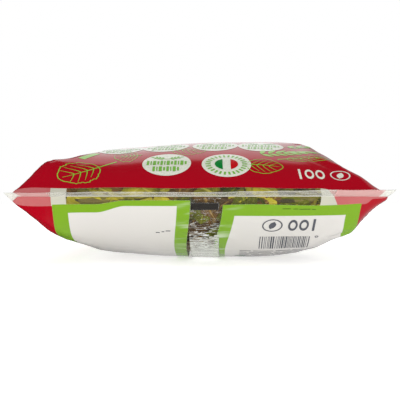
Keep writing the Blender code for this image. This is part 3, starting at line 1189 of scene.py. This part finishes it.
def welded_film():
    """Two films pressed together: frosty, with painted highlights along its root and cut edge, and the thin red of the
    sides running through.
    """
    material, tree, shader = new_material("welded_film", 0.3)
    across, along = sheet_place(tree)
    middle = math_node(tree, "ABSOLUTE", math_node(tree, "SUBTRACT", across, FRONT_MIDDLE))
    inner = smooth_share(tree, middle, 108.6 * MM, 109.0 * MM, 1.0, 0.0)
    sides = math_node(tree, "MULTIPLY", thin_red(tree, across, math_node(tree, "ABSOLUTE", along)), inner)
    colour = mixed(tree, sides, linear(240, 240, 232), PALE_RED)
    ribs = math_node(tree, "SINE", math_node(tree, "MULTIPLY", along, 2.0 * math.pi / RIB_PITCH))
    place = add_node(tree, "ShaderNodeCombineXYZ", {0: across, 1: along}).outputs[0]
    long = add_node(tree, "ShaderNodeVectorMath", {0: place, 1: (90.0, 700.0, 1.0)}, operation="MULTIPLY").outputs[0]
    patches = add_node(tree, "ShaderNodeTexNoise", {"Vector": long, "Scale": 1.0, "Detail": 3.0}).outputs[0]
    run = math_node(tree, "SUBTRACT", math_node(tree, "ABSOLUTE", along), HALF_FILM)
    # Painted highlights: bright lines along the root of the seal and its cut edge, drawn as whiter, denser film.
    rims = either(
        tree,
        smooth_share(tree, run, 0.6 * MM, 2.8 * MM, 0.85, 0.0),
        smooth_share(tree, run, SEAL_DEPTH - 2.0 * MM, SEAL_DEPTH - 1.2 * MM, 0.0, 0.35),
    )
    frost_and_rim_highlights = math_node(tree, "MULTIPLY_ADD", ribs, 0.06, smooth_share(tree, patches, 0.3, 0.75, 0.08, 0.36))
    frost_and_rim_highlights = either(tree, either(tree, frost_and_rim_highlights, rims), smooth_share(tree, middle, 107.0 * MM, 109.0 * MM, 0.0, 0.7))
    tree.links.new(colour, shader.inputs["Base Color"])
    tree.links.new(math_node(tree, "MAXIMUM", frost_and_rim_highlights, math_node(tree, "MULTIPLY", sides, 0.6)), shader.inputs["Alpha"])
    bump = add_node(tree, "ShaderNodeBump", {"Height": patches, "Strength": 0.5, "Distance": 0.3 * MM})
    tree.links.new(bump.outputs[0], shader.inputs["Normal"])
    return material


WELD = welded_film()
seal_strip("seal_bottom", -1.0, WELD)
seal_strip("seal_top", 1.0, WELD)

# %% [markdown]
# ## The weld down the back
#
# The two long edges of the sheet are welded face to face into a fin, and the fin lies
# folded over to one side. It's a band of clear film that bunches and creases sharply, and
# it carries a dark mark near each end, which tells the machine where to cut. It's a long
# grid laid a little off the film, ruffled, and kept above the surface the bag lies on.

# %% Back fin
FIN_FROM = -5.6 * MM
FIN_TO = 12.8 * MM
FIN_ROWS = 260
FIN_COLUMNS = 14
MARK_RUNS = (4.8 * MM, 10.4 * MM)
MARK_SIDES = (-5.2 * MM, 11.4 * MM)


def fin_lift(right, along):
    """How far the fin stands off the film here: it rises and ruffles towards its free edge."""
    share = (right - FIN_FROM) / (FIN_TO - FIN_FROM)
    ruffle = noise.noise(Vector((right * 90.0, along * 210.0, 0.0)))
    broad_ruffle = noise.noise(Vector((right * 30.0, along * 60.0, 5.0)))
    lift = 0.25 * MM + share * 0.5 * MM + (0.45 * ruffle + 0.5 * broad_ruffle) * MM * (0.4 + 0.6 * share)
    calm = min((HALF_FILM - abs(along)) / (14.0 * MM), 1.0)
    return max(lift * (0.3 + 0.7 * calm), 0.15 * MM)


def fin_material():
    """Clear film with a dark mark near each end, and white crease lines that are partly stress-whitened film and
    partly painted highlight.
    """
    material, tree, shader = new_material("fin_film", 0.16)
    across, along = sheet_place(tree)
    size = math_node(tree, "ABSOLUTE", along)
    wrapped = math_node(tree, "FRACT", math_node(tree, "ADD", math_node(tree, "DIVIDE", across, GIRTH), 0.5))
    right = math_node(tree, "MULTIPLY", math_node(tree, "SUBTRACT", 0.5, wrapped), GIRTH)
    mark = field(tree, right, size, MARK_SIDES, (HALF_FILM - MARK_RUNS[1], HALF_FILM - MARK_RUNS[0]))
    place = add_node(tree, "ShaderNodeCombineXYZ", {0: right, 1: along}).outputs[0]
    stretch = add_node(tree, "ShaderNodeVectorMath", {0: place, 1: (110.0, 400.0, 1.0)}, operation="MULTIPLY")
    creases = add_node(
        tree, "ShaderNodeTexNoise", {"Vector": stretch.outputs[0], "Scale": 1.0, "Detail": 4.0, "Distortion": 0.8}
    ).outputs[0]
    run = math_node(tree, "SUBTRACT", HALF_FILM, size)
    # Partly painted highlight: the white crease lines widen and the film whitens further from the seal, where the
    # lower fin catches light.
    width = smooth_share(tree, run, 18.0 * MM, 60.0 * MM, 0.004, 0.1)
    off = math_node(tree, "ABSOLUTE", math_node(tree, "SUBTRACT", creases, 0.5))
    crease_whitening_and_highlights = smooth_share(tree, math_node(tree, "DIVIDE", off, width), 0.4, 1.4, 0.6, 0.0)
    colour = mixed(tree, mark, linear(244, 245, 240), linear(36, 32, 28))
    tree.links.new(colour, shader.inputs["Base Color"])
    haze_and_highlight = smooth_share(tree, run, 36.0 * MM, 66.0 * MM, 0.0, 0.5)
    clear = math_node(tree, "MAXIMUM", crease_whitening_and_highlights, haze_and_highlight)
    tree.links.new(math_node(tree, "MAXIMUM", clear, math_node(tree, "MULTIPLY", mark, 0.95)), shader.inputs["Alpha"])
    bump = add_node(tree, "ShaderNodeBump", {"Height": creases, "Strength": 0.45, "Distance": 0.8 * MM})
    tree.links.new(bump.outputs[0], shader.inputs["Normal"])
    return material


def back_fin():
    """The folded weld down the middle of the back."""
    mesh = bmesh.new()
    bmesh.ops.create_grid(mesh, x_segments=FIN_COLUMNS, y_segments=FIN_ROWS, size=1.0)
    uv_layer = mesh.loops.layers.uv.new("sheet")
    verts = mesh.verts[:]
    right = np.array([FIN_FROM + (v.co.x + 1.0) / 2.0 * (FIN_TO - FIN_FROM) for v in verts])
    along = np.array([v.co.y * (HALF_FILM - 0.6 * MM) for v in verts])
    lift = np.array([fin_lift(r, a) for r, a in zip(right, along)])
    points = on_film(-right, along, lift)
    points[:, 2] = np.maximum(points[:, 2], 0.05 * MM)
    for vert, point, r, a in zip(verts, points, right, along):
        vert.co = point
        for loop in vert.link_loops:
            loop[uv_layer].uv = (-r / GIRTH, 0.5 + a / SHEET_LENGTH)
    data = bpy.data.meshes.new("back_fin")
    mesh.to_mesh(data)
    mesh.free()
    piece = bpy.data.objects.new("back_fin", data)
    bpy.context.scene.collection.objects.link(piece)
    thickness = piece.modifiers.new("thickness", "SOLIDIFY")
    thickness.thickness = 0.08 * MM
    thickness.offset = 0.0
    finish_piece(piece, fin_material())
    print("fin faces:", len(data.polygons))
    return piece


back_fin()

# %% [markdown]
# ## The small print
#
# The discs, leaf drawings and rules are too fine for masks, so they are real shapes, one
# piece for each ink, laid on the flat sheet and bent onto the film a hair above it. A line
# of ink is a ribbon: a long grid, one face wide, that follows a path and swells or thins
# along it. The drawings here are plain leaves, sprigs and bars.

# %% Inks
INK_LIFT = 0.12 * MM
INK_STEP = 2.2 * MM


class Ink:
    """Shapes of one colour, collected flat: x is across the sheet and y is along it."""

    def __init__(self, name, colour):
        self.name = name
        self.colour = colour
        self.mesh = bmesh.new()
        self.lift = self.mesh.verts.layers.float.new("lift")

    def keep(self, verts, shape, level=0):
        """Moves new vertices by a function of their own place, and notes which layer they are on."""
        for vert in verts:
            across, along = shape(vert.co.x, vert.co.y)
            vert.co = (across, along, 0.0)
            vert[self.lift] = INK_LIFT * (1.0 + level)

    def bar(self, across, along, width, length, angle=0.0, level=0):
        """A straight bar about its middle."""
        parts = [max(1, round(side / INK_STEP)) for side in (width, length)]
        made = bmesh.ops.create_grid(self.mesh, x_segments=parts[0], y_segments=parts[1], size=1.0)

        def shape(x, y):
            a, b = x * width / 2.0, y * length / 2.0
            return (
                across + a * math.cos(angle) - b * math.sin(angle),
                along + a * math.sin(angle) + b * math.cos(angle),
            )

        self.keep(made["verts"], shape, level)

    def ribbon(self, path, width, level=0):
        """A line of ink along a path of points; width is a number or a function of the share along."""
        path = [Vector(point) for point in path]
        made = bmesh.ops.create_grid(self.mesh, x_segments=1, y_segments=len(path) - 1, size=1.0)

        def shape(x, y):
            share = (y + 1.0) / 2.0
            i = round(share * (len(path) - 1))
            way = path[min(i + 1, len(path) - 1)] - path[max(i - 1, 0)]
            side = Vector((way.y, -way.x)).normalized()
            wide = width(share) if callable(width) else width
            point = path[i] + side * x * wide / 2.0
            return point.x, point.y

        self.keep(made["verts"], shape, level)

    def disc(self, across, along, radius, inner=0.0, cuts=(), level=0, tall=1.0):
        """A disc or ring; each cut is a place across and the side of it to take away."""
        rings = max(2, round((radius - inner) / INK_STEP))
        fresh = bmesh.new()
        bmesh.ops.create_circle(fresh, cap_ends=inner == 0.0, cap_tris=True, segments=56, radius=radius)
        spokes = [e for e in fresh.edges if not e.is_boundary]
        if inner:
            rim = fresh.edges[:]
            grown = bmesh.ops.extrude_edge_only(fresh, edges=rim)["geom"]
            bmesh.ops.scale(
                fresh, vec=(inner / radius,) * 3, verts=[g for g in grown if isinstance(g, bmesh.types.BMVert)]
            )
            spokes = [e for e in fresh.edges if abs(e.verts[0].co.length - e.verts[1].co.length) > 1e-6]
        bmesh.ops.subdivide_edges(fresh, edges=spokes, cuts=rings - 1)
        for place, away in cuts:
            bmesh.ops.bisect_plane(
                fresh,
                geom=fresh.verts[:] + fresh.edges[:] + fresh.faces[:],
                plane_co=(place, 0.0, 0.0),
                plane_no=(away, 0.0, 0.0),
                clear_outer=True,
            )
        data = bpy.data.meshes.new("disc")
        fresh.to_mesh(data)
        fresh.free()
        before = set(self.mesh.verts)
        self.mesh.from_mesh(data)
        bpy.data.meshes.remove(data)
        made = [v for v in self.mesh.verts if v not in before]
        self.keep(made, lambda x, y: (across + x, along + tall * y), level)

    def blade(self, across, along, length, width, angle, level=0):
        """A filled leaf shape from its base in a direction."""
        rows = max(4, round(length / INK_STEP))
        made = bmesh.ops.create_grid(self.mesh, x_segments=4, y_segments=rows, size=1.0)

        def shape(x, y):
            share = (y + 1.0) / 2.0
            a = x * width / 2.0 * max(math.sin(math.pi * share**0.9), 0.0) ** 0.8
            b = share * length
            return (
                across + b * math.cos(angle) - a * math.sin(angle),
                along + b * math.sin(angle) + a * math.cos(angle),
            )

        self.keep(made["verts"], shape, level)

    def print_on_film(self):
        """Bends the collected shapes onto the film as one piece."""
        bmesh.ops.remove_doubles(self.mesh, verts=self.mesh.verts, dist=0.001 * MM)
        verts = self.mesh.verts[:]
        across = np.array([v.co.x for v in verts])
        along = np.array([v.co.y for v in verts])
        lift = np.array([v[self.lift] for v in verts])
        points = on_film(across, along, lift)
        points[:, 2] = np.maximum(points[:, 2], 0.02 * MM)
        for vert, point in zip(verts, points):
            vert.co = point
        data = bpy.data.meshes.new(self.name)
        self.mesh.to_mesh(data)
        self.mesh.free()
        piece = bpy.data.objects.new(self.name, data)
        bpy.context.scene.collection.objects.link(piece)
        finish_piece(piece, ink_material(self.name, self.colour))
        print(self.name, "has", len(data.polygons), "faces")


def ink_material(name, colour):
    """Glossy ink with a slight unevenness in its density."""
    material, tree, shader = new_material(name, 0.14)
    place = add_node(tree, "ShaderNodeTexCoord").outputs["Object"]
    grain = add_node(tree, "ShaderNodeTexNoise", {"Vector": place, "Scale": 900.0, "Detail": 2.0}).outputs[0]
    thin = tuple(0.86 * part for part in colour[:3]) + (1.0,)
    tree.links.new(mixed(tree, smooth_share(tree, grain, 0.35, 0.65), thin, colour), shader.inputs["Base Color"])
    return material


WHITE_INK = Ink("ink_white", linear(226, 229, 214))
LINE_INK = Ink("ink_light_green", linear(139, 196, 62))
TEXT_INK = Ink("ink_green", linear(122, 182, 72))
DEEP_INK = Ink("ink_deep_green", linear(0, 128, 48))
RED_INK = Ink("ink_red", linear(196, 0, 12))
GREY_INK = Ink("ink_grey", linear(84, 86, 94))
DARK_INK = Ink("ink_dark_green", linear(58, 92, 20))

# %% [markdown]
# ## Leaf drawings
#
# Each drawing is an outline, a midrib and side veins, all worked out from a length, a
# width and a direction. The outline is a rounded leaf whose edge goes in and out in soft
# teeth, and the veins leave the rib in pairs and bend towards the tip.

# %% Draw a leaf
def turned(across, along, angle, points):
    """Points moved from a leaf's own axes, base at 0, to a place and direction on the sheet."""
    c, s = math.cos(angle), math.sin(angle)
    return [(across + a * c - b * s, along + a * s + b * c) for a, b in points]


def outline_width(share, teeth, depth):
    """Half width of a leaf at this share from base to tip, as a share of the greatest."""
    body = math.sin(math.pi * min(max(share, 0.0), 1.0) ** 0.85) ** 0.62
    lobes = 0.7 * math.sin(2.0 * math.pi * teeth * share) + 0.9 * math.sin(2.0 * math.pi * 0.37 * teeth * share + 1.0)
    return body * (1.0 + depth * lobes)


def draw_leaf(ink, across, along, angle, length, width, stalk, line=0.8 * MM, teeth=7, depth=0.06, veins=4):
    """The outline, the rib with its stalk, and pairs of veins."""
    steps = 40
    for side in (-1.0, 1.0):
        edge = [
            (length * i / steps, side * width / 2.0 * outline_width(i / steps, teeth, depth))
            for i in range(steps + 1)
        ]
        ink.ribbon(turned(across, along, angle, edge), line)
    rib = [(-stalk + (stalk + 0.9 * length) * i / 24, 0.04 * length * math.sin(3.0 * i / 24)) for i in range(25)]
    ink.ribbon(turned(across, along, angle, rib), lambda share: line * (2.2 - 1.7 * share))
    for pair in range(veins):
        start = (0.12 + 0.66 * pair / veins) * length
        for side in (-1.0, 1.0):
            reach = width / 2.0 * outline_width(start / length + 0.16, teeth, 0.0) * 0.78
            vein = [
                (start + 0.24 * length * share**1.3, side * reach * share)
                for share in np.linspace(0.0, 1.0, 9)
            ]
            ink.ribbon(turned(across, along, angle, vein), lambda share: line * (1.2 - 0.8 * share))


def sprig(ink, across, along, angle, length, level=0):
    """A small filled sprig: a stalk with pairs of narrow leaves and one at its tip."""
    stalk = turned(across, along, angle, [(length * i / 8, 0.0) for i in range(9)])
    ink.ribbon(stalk, 0.5 * MM, level)
    for share in (0.25, 0.5, 0.75):
        x, y = turned(across, along, angle, [(length * share, 0.0)])[0]
        for side in (-1.0, 1.0):
            ink.blade(x, y, 0.36 * length, 0.15 * length, angle + side * 0.75, level)
    x, y = stalk[-1]
    ink.blade(x, y, 0.35 * length, 0.16 * length, angle, level)


# %% Print on the front
def front(right, run):
    """A place on the front of the sheet, right of its middle and in from the bottom seal."""
    return FRONT_MIDDLE + right * MM, run * MM - HALF_FILM


def tally(ink, x, y, width, height):
    """A row of short upright marks, in place of a line of text."""
    start = x - width / 2.0
    at = start
    number = 0
    while at < start + width - 0.5 * MM:
        mark = (1.5, 0.8, 1.9, 1.2)[number % 4] * MM
        ink.bar(at + mark / 2.0, y, mark, height * (1.0, 0.86, 1.0, 0.72)[number % 4], level=1)
        at += mark + 0.8 * MM
        number += 1


def claim_disc(right, run):
    """A white disc with a sprig and two bars."""
    x, y = front(right, run)
    WHITE_INK.disc(x, y, 15.3 * MM)
    for turn in (0.35, math.pi - 0.35):
        sprig(TEXT_INK, x, y + 6.0 * MM, turn, 8.5 * MM, level=1)
    tally(TEXT_INK, x, y + 0.6 * MM, 25.0 * MM, 6.2 * MM)
    tally(TEXT_INK, x, y - 7.4 * MM, 17.0 * MM, 6.0 * MM)


def origin_disc(right, run):
    """A white disc with a roundel of three stripes inside a ring of short ticks."""
    x, y = front(right, run)
    WHITE_INK.disc(x, y, 15.5 * MM)
    DEEP_INK.disc(x, y, 7.3 * MM, cuts=((-2.4 * MM, 1.0),), level=1)
    RED_INK.disc(x, y, 7.3 * MM, cuts=((2.6 * MM, -1.0),), level=1)
    for tick in range(26):
        turn = 2.0 * math.pi * tick / 26
        TEXT_INK.bar(
            x + 11.6 * MM * math.cos(turn), y + 11.6 * MM * math.sin(turn), 1.3 * MM, 3.2 * MM, turn - math.pi / 2.0, 1
        )


def quantity_marks(ink, place, right, run, size):
    """Plain marks where a pack states its quantity: an upright, two ovals and a ring with a leaf."""
    x, y = place(right, run)
    ink.bar(x, y, 0.12 * abs(size), size)
    for number in (1, 2):
        ink.disc(x + (0.56 * number - 0.06) * size, y, 0.24 * abs(size), inner=0.14 * abs(size), tall=1.95)
    ink.disc(x + 2.1 * size, y, 0.52 * abs(size), inner=0.45 * abs(size))
    ink.blade(x + 2.0 * size, y - 0.32 * size, 0.66 * size, 0.36 * size, math.radians(72.0))


claim_disc(-20.0, 34.7)
origin_disc(17.5, 33.5)
for right in (-54.0, -24.0, 9.0, 39.4):
    claim_disc(right, 71.5)
draw_leaf(LINE_INK, *front(-62.5, 31.0), math.radians(214.0), 27 * MM, 25 * MM, 13 * MM, line=0.6 * MM, teeth=11, depth=0.05)
draw_leaf(LINE_INK, *front(-40.0, 50.0), math.radians(188.0), 15 * MM, 22 * MM, 3 * MM, line=0.42 * MM, teeth=9)
draw_leaf(LINE_INK, *front(-18.0, 60.0), math.radians(350.0), 22 * MM, 20 * MM, 4 * MM, line=0.42 * MM, teeth=9)
draw_leaf(LINE_INK, *front(30.0, 33.0), math.radians(352.0), 23 * MM, 19 * MM, 1 * MM, line=0.55 * MM, teeth=5, depth=0.03)
LINE_INK.bar(*front(-71.0, 51.0), 5.0 * MM, 16.0 * MM, math.radians(-28.0))
for number in range(7):
    share = number / 6.0
    LINE_INK.blade(*front(40.0 + 28.0 * share, 50.0 + 9.0 * share), 11 * MM, 3.4 * MM, math.radians(80.0 - 14.0 * number))
    LINE_INK.blade(*front(40.0 + 28.0 * share, 50.0 + 9.0 * share), 9 * MM, 3.0 * MM, math.radians(-28.0))
sprig(LINE_INK, *front(52.0, 72.0), math.radians(20.0), 24 * MM)
draw_leaf(LINE_INK, *front(56.0, 42.0), math.radians(8.0), 30 * MM, 9 * MM, 6 * MM, line=0.5 * MM, teeth=4)
quantity_marks(WHITE_INK, front, 62.0, 22.0, 11.5 * MM)


# %% Print on the back
def behind(right, run):
    """A place on the back of the sheet, right of the weld and in from the bottom seal."""
    return back(right * MM), run * MM - HALF_FILM


def striped_block(rng):
    """A block of upright bars of uneven widths, as on any pack; it encodes nothing."""
    right = 38.0
    while right < 69.0:
        width = rng.choice((0.35, 0.35, 0.6, 0.9))
        x, y = behind(right + width / 2.0, 45.5)
        GREY_INK.bar(x, y, width * MM, 17.0 * MM)
        right += width + rng.choice((0.45, 0.6, 0.9))


def small_print(rng):
    """Rows of hairline rules in place of small print."""
    for row in range(16):
        run = 59.0 + 3.4 * row
        right = 26.0
        while right < 84.0:
            width = min(rng.uniform(4.0, 15.0), 85.0 - right)
            x, y = behind(right + width / 2.0, run)
            GREY_INK.bar(x, y, width * MM, 0.8 * MM)
            right += width + 1.4


print_rng = random.Random(5)
striped_block(print_rng)
small_print(print_rng)
for number, width in enumerate((2.4, 1.6, 2.8)):
    GREY_INK.bar(*behind(-25.0 + 3.2 * number, 33.0 - 0.9 * number), width * MM, 0.9 * MM)
quantity_marks(GREY_INK, behind, 70.0, 25.0, 12.0 * MM)
for number, width in enumerate((5.0, 3.0, 6.5, 2.5)):
    DARK_INK.bar(*behind(52.0 + 5.4 * number, 9.6 + 0.2 * number), width * MM, 0.45 * MM)
GREY_INK.disc(*behind(73.0, 37.5), 1.1 * MM, inner=0.6 * MM)
DEEP_INK.bar(*behind(26.5, 75.0), 7.0 * MM, 2.2 * MM, math.radians(8.0))
for ink in (WHITE_INK, LINE_INK, TEXT_INK, DEEP_INK, RED_INK, GREY_INK, DARK_INK):
    ink.print_on_film()

# %% [markdown]
# ## Floor, light and camera
#
# A pale floor and an all-round white light, as in a light tent, keep shadows soft and the
# colours true. Glossy film mirrors its surroundings, so what the tent looks like matters:
# its walls are white up to 50 degrees, which puts a pale sheen on the shoulders of the
# bag, and its roof is dark, which keeps the red below the sheen deep. A long low lamp in
# front, seen by matt surfaces only, gives the light that the dark roof takes away.

# %% Floor
def pale_floor():
    """A wide plain floor a hair below the bag."""
    mesh = bmesh.new()
    bmesh.ops.create_grid(mesh, x_segments=8, y_segments=8, size=6.0)
    data = bpy.data.meshes.new("floor")
    mesh.to_mesh(data)
    mesh.free()
    floor = bpy.data.objects.new("floor", data)
    bpy.context.scene.collection.objects.link(floor)
    material, tree, shader = new_material("pale_floor", 0.9)
    shader.inputs["Base Color"].default_value = (0.93, 0.93, 0.93, 1.0)
    shader.inputs["Specular IOR Level"].default_value = 0.0
    shader.inputs["Emission Color"].default_value = (1.0, 1.0, 1.0, 1.0)
    shader.inputs["Emission Strength"].default_value = 0.52
    data.materials.append(material)
    return floor


floor = pale_floor()

# %% Light
ROOF_FROM = math.sin(math.radians(50.0))
ROOF_TO = math.sin(math.radians(52.5))
SOFT_LIGHT = 0.8
WALL = 1.1
UNLIT = 0.04


def light_tent():
    """A white surround, even for matt surfaces, and with a dark roof and sides in the gloss."""
    world = bpy.data.worlds.new("light_tent")
    world.use_nodes = True
    world.cycles.sampling_method = "NONE"
    tree = world.node_tree
    way = add_node(tree, "ShaderNodeTexCoord").outputs["Generated"]
    right, behind_bag, up = add_node(tree, "ShaderNodeSeparateXYZ", {0: way}).outputs
    wall = smooth_share(tree, up, ROOF_FROM, ROOF_TO, 1.0, 0.0)
    wall = math_node(tree, "MULTIPLY", wall, smooth_share(tree, behind_bag, 0.0, 0.2))
    wall = math_node(tree, "MULTIPLY", wall, smooth_share(tree, up, -0.04, 0.0))
    wall = math_node(tree, "MULTIPLY", wall, smooth_share(tree, right, -0.18, -0.13))
    wall = math_node(tree, "MULTIPLY", wall, smooth_share(tree, right, 0.08, 0.22, 1.0, 0.4))
    low = smooth_share(tree, math_node(tree, "ABSOLUTE", up), 0.05, 0.14, 1.0, 0.0)
    wall = either(tree, wall, math_node(tree, "MULTIPLY", low, smooth_share(tree, behind_bag, 0.4, 0.7)))
    table = math_node(tree, "MULTIPLY", smooth_share(tree, up, -0.04, -0.1), smooth_share(tree, right, -0.25, 0.0))
    gloss = math_node(tree, "MULTIPLY", either(tree, wall, math_node(tree, "MULTIPLY", table, 0.4)), WALL)
    gloss = math_node(tree, "MAXIMUM", gloss, UNLIT)
    rays = add_node(tree, "ShaderNodeLightPath").outputs
    strength = math_node(tree, "MULTIPLY_ADD", rays["Is Glossy Ray"], gloss, rays["Is Camera Ray"])
    strength = math_node(tree, "MULTIPLY_ADD", rays["Is Diffuse Ray"], SOFT_LIGHT, strength)
    tree.links.new(strength, tree.nodes["Background"].inputs["Strength"])
    tree.nodes["Background"].inputs["Color"].default_value = (1.0, 1.0, 1.0, 1.0)
    bpy.context.scene.world = world


def lamp(name, kind, place, target, power, **settings):
    """A lamp that matt surfaces see and gloss doesn't mirror."""
    data = bpy.data.lights.new(name, kind)
    data.energy = power
    for key, value in settings.items():
        setattr(data, key, value)
    piece = bpy.data.objects.new(name, data)
    piece.location = place
    piece.rotation_euler = (Vector(target) - Vector(place)).to_track_quat("-Z", "Y").to_euler()
    piece.visible_glossy = False
    bpy.context.scene.collection.objects.link(piece)


light_tent()
lamp("front_fill", "AREA", (0.0, -1.1, 0.1), (0.0, -0.1, 0.02), 3.2, shape="RECTANGLE", size=1.2, size_y=0.18)
floor.visible_glossy = False

# %% Camera
EYE_DISTANCE = 464.0 * MM
EYE_HEIGHT = RISE_BACK - 2.1 * MM
FOCAL_IN_PIXELS = 789.0

camera_data = bpy.data.cameras.new("camera")
camera_data.angle = 2.0 * math.atan(200.0 / FOCAL_IN_PIXELS)
camera_data.clip_start = 0.01
camera = bpy.data.objects.new("camera", camera_data)
camera.location = (0.0, -SEAL_LINE - EYE_DISTANCE, EYE_HEIGHT)
camera.rotation_euler = (math.radians(90.0), 0.0, 0.0)
bpy.context.scene.collection.objects.link(camera)
bpy.context.scene.camera = camera
bpy.context.scene.view_settings.view_transform = "Standard"
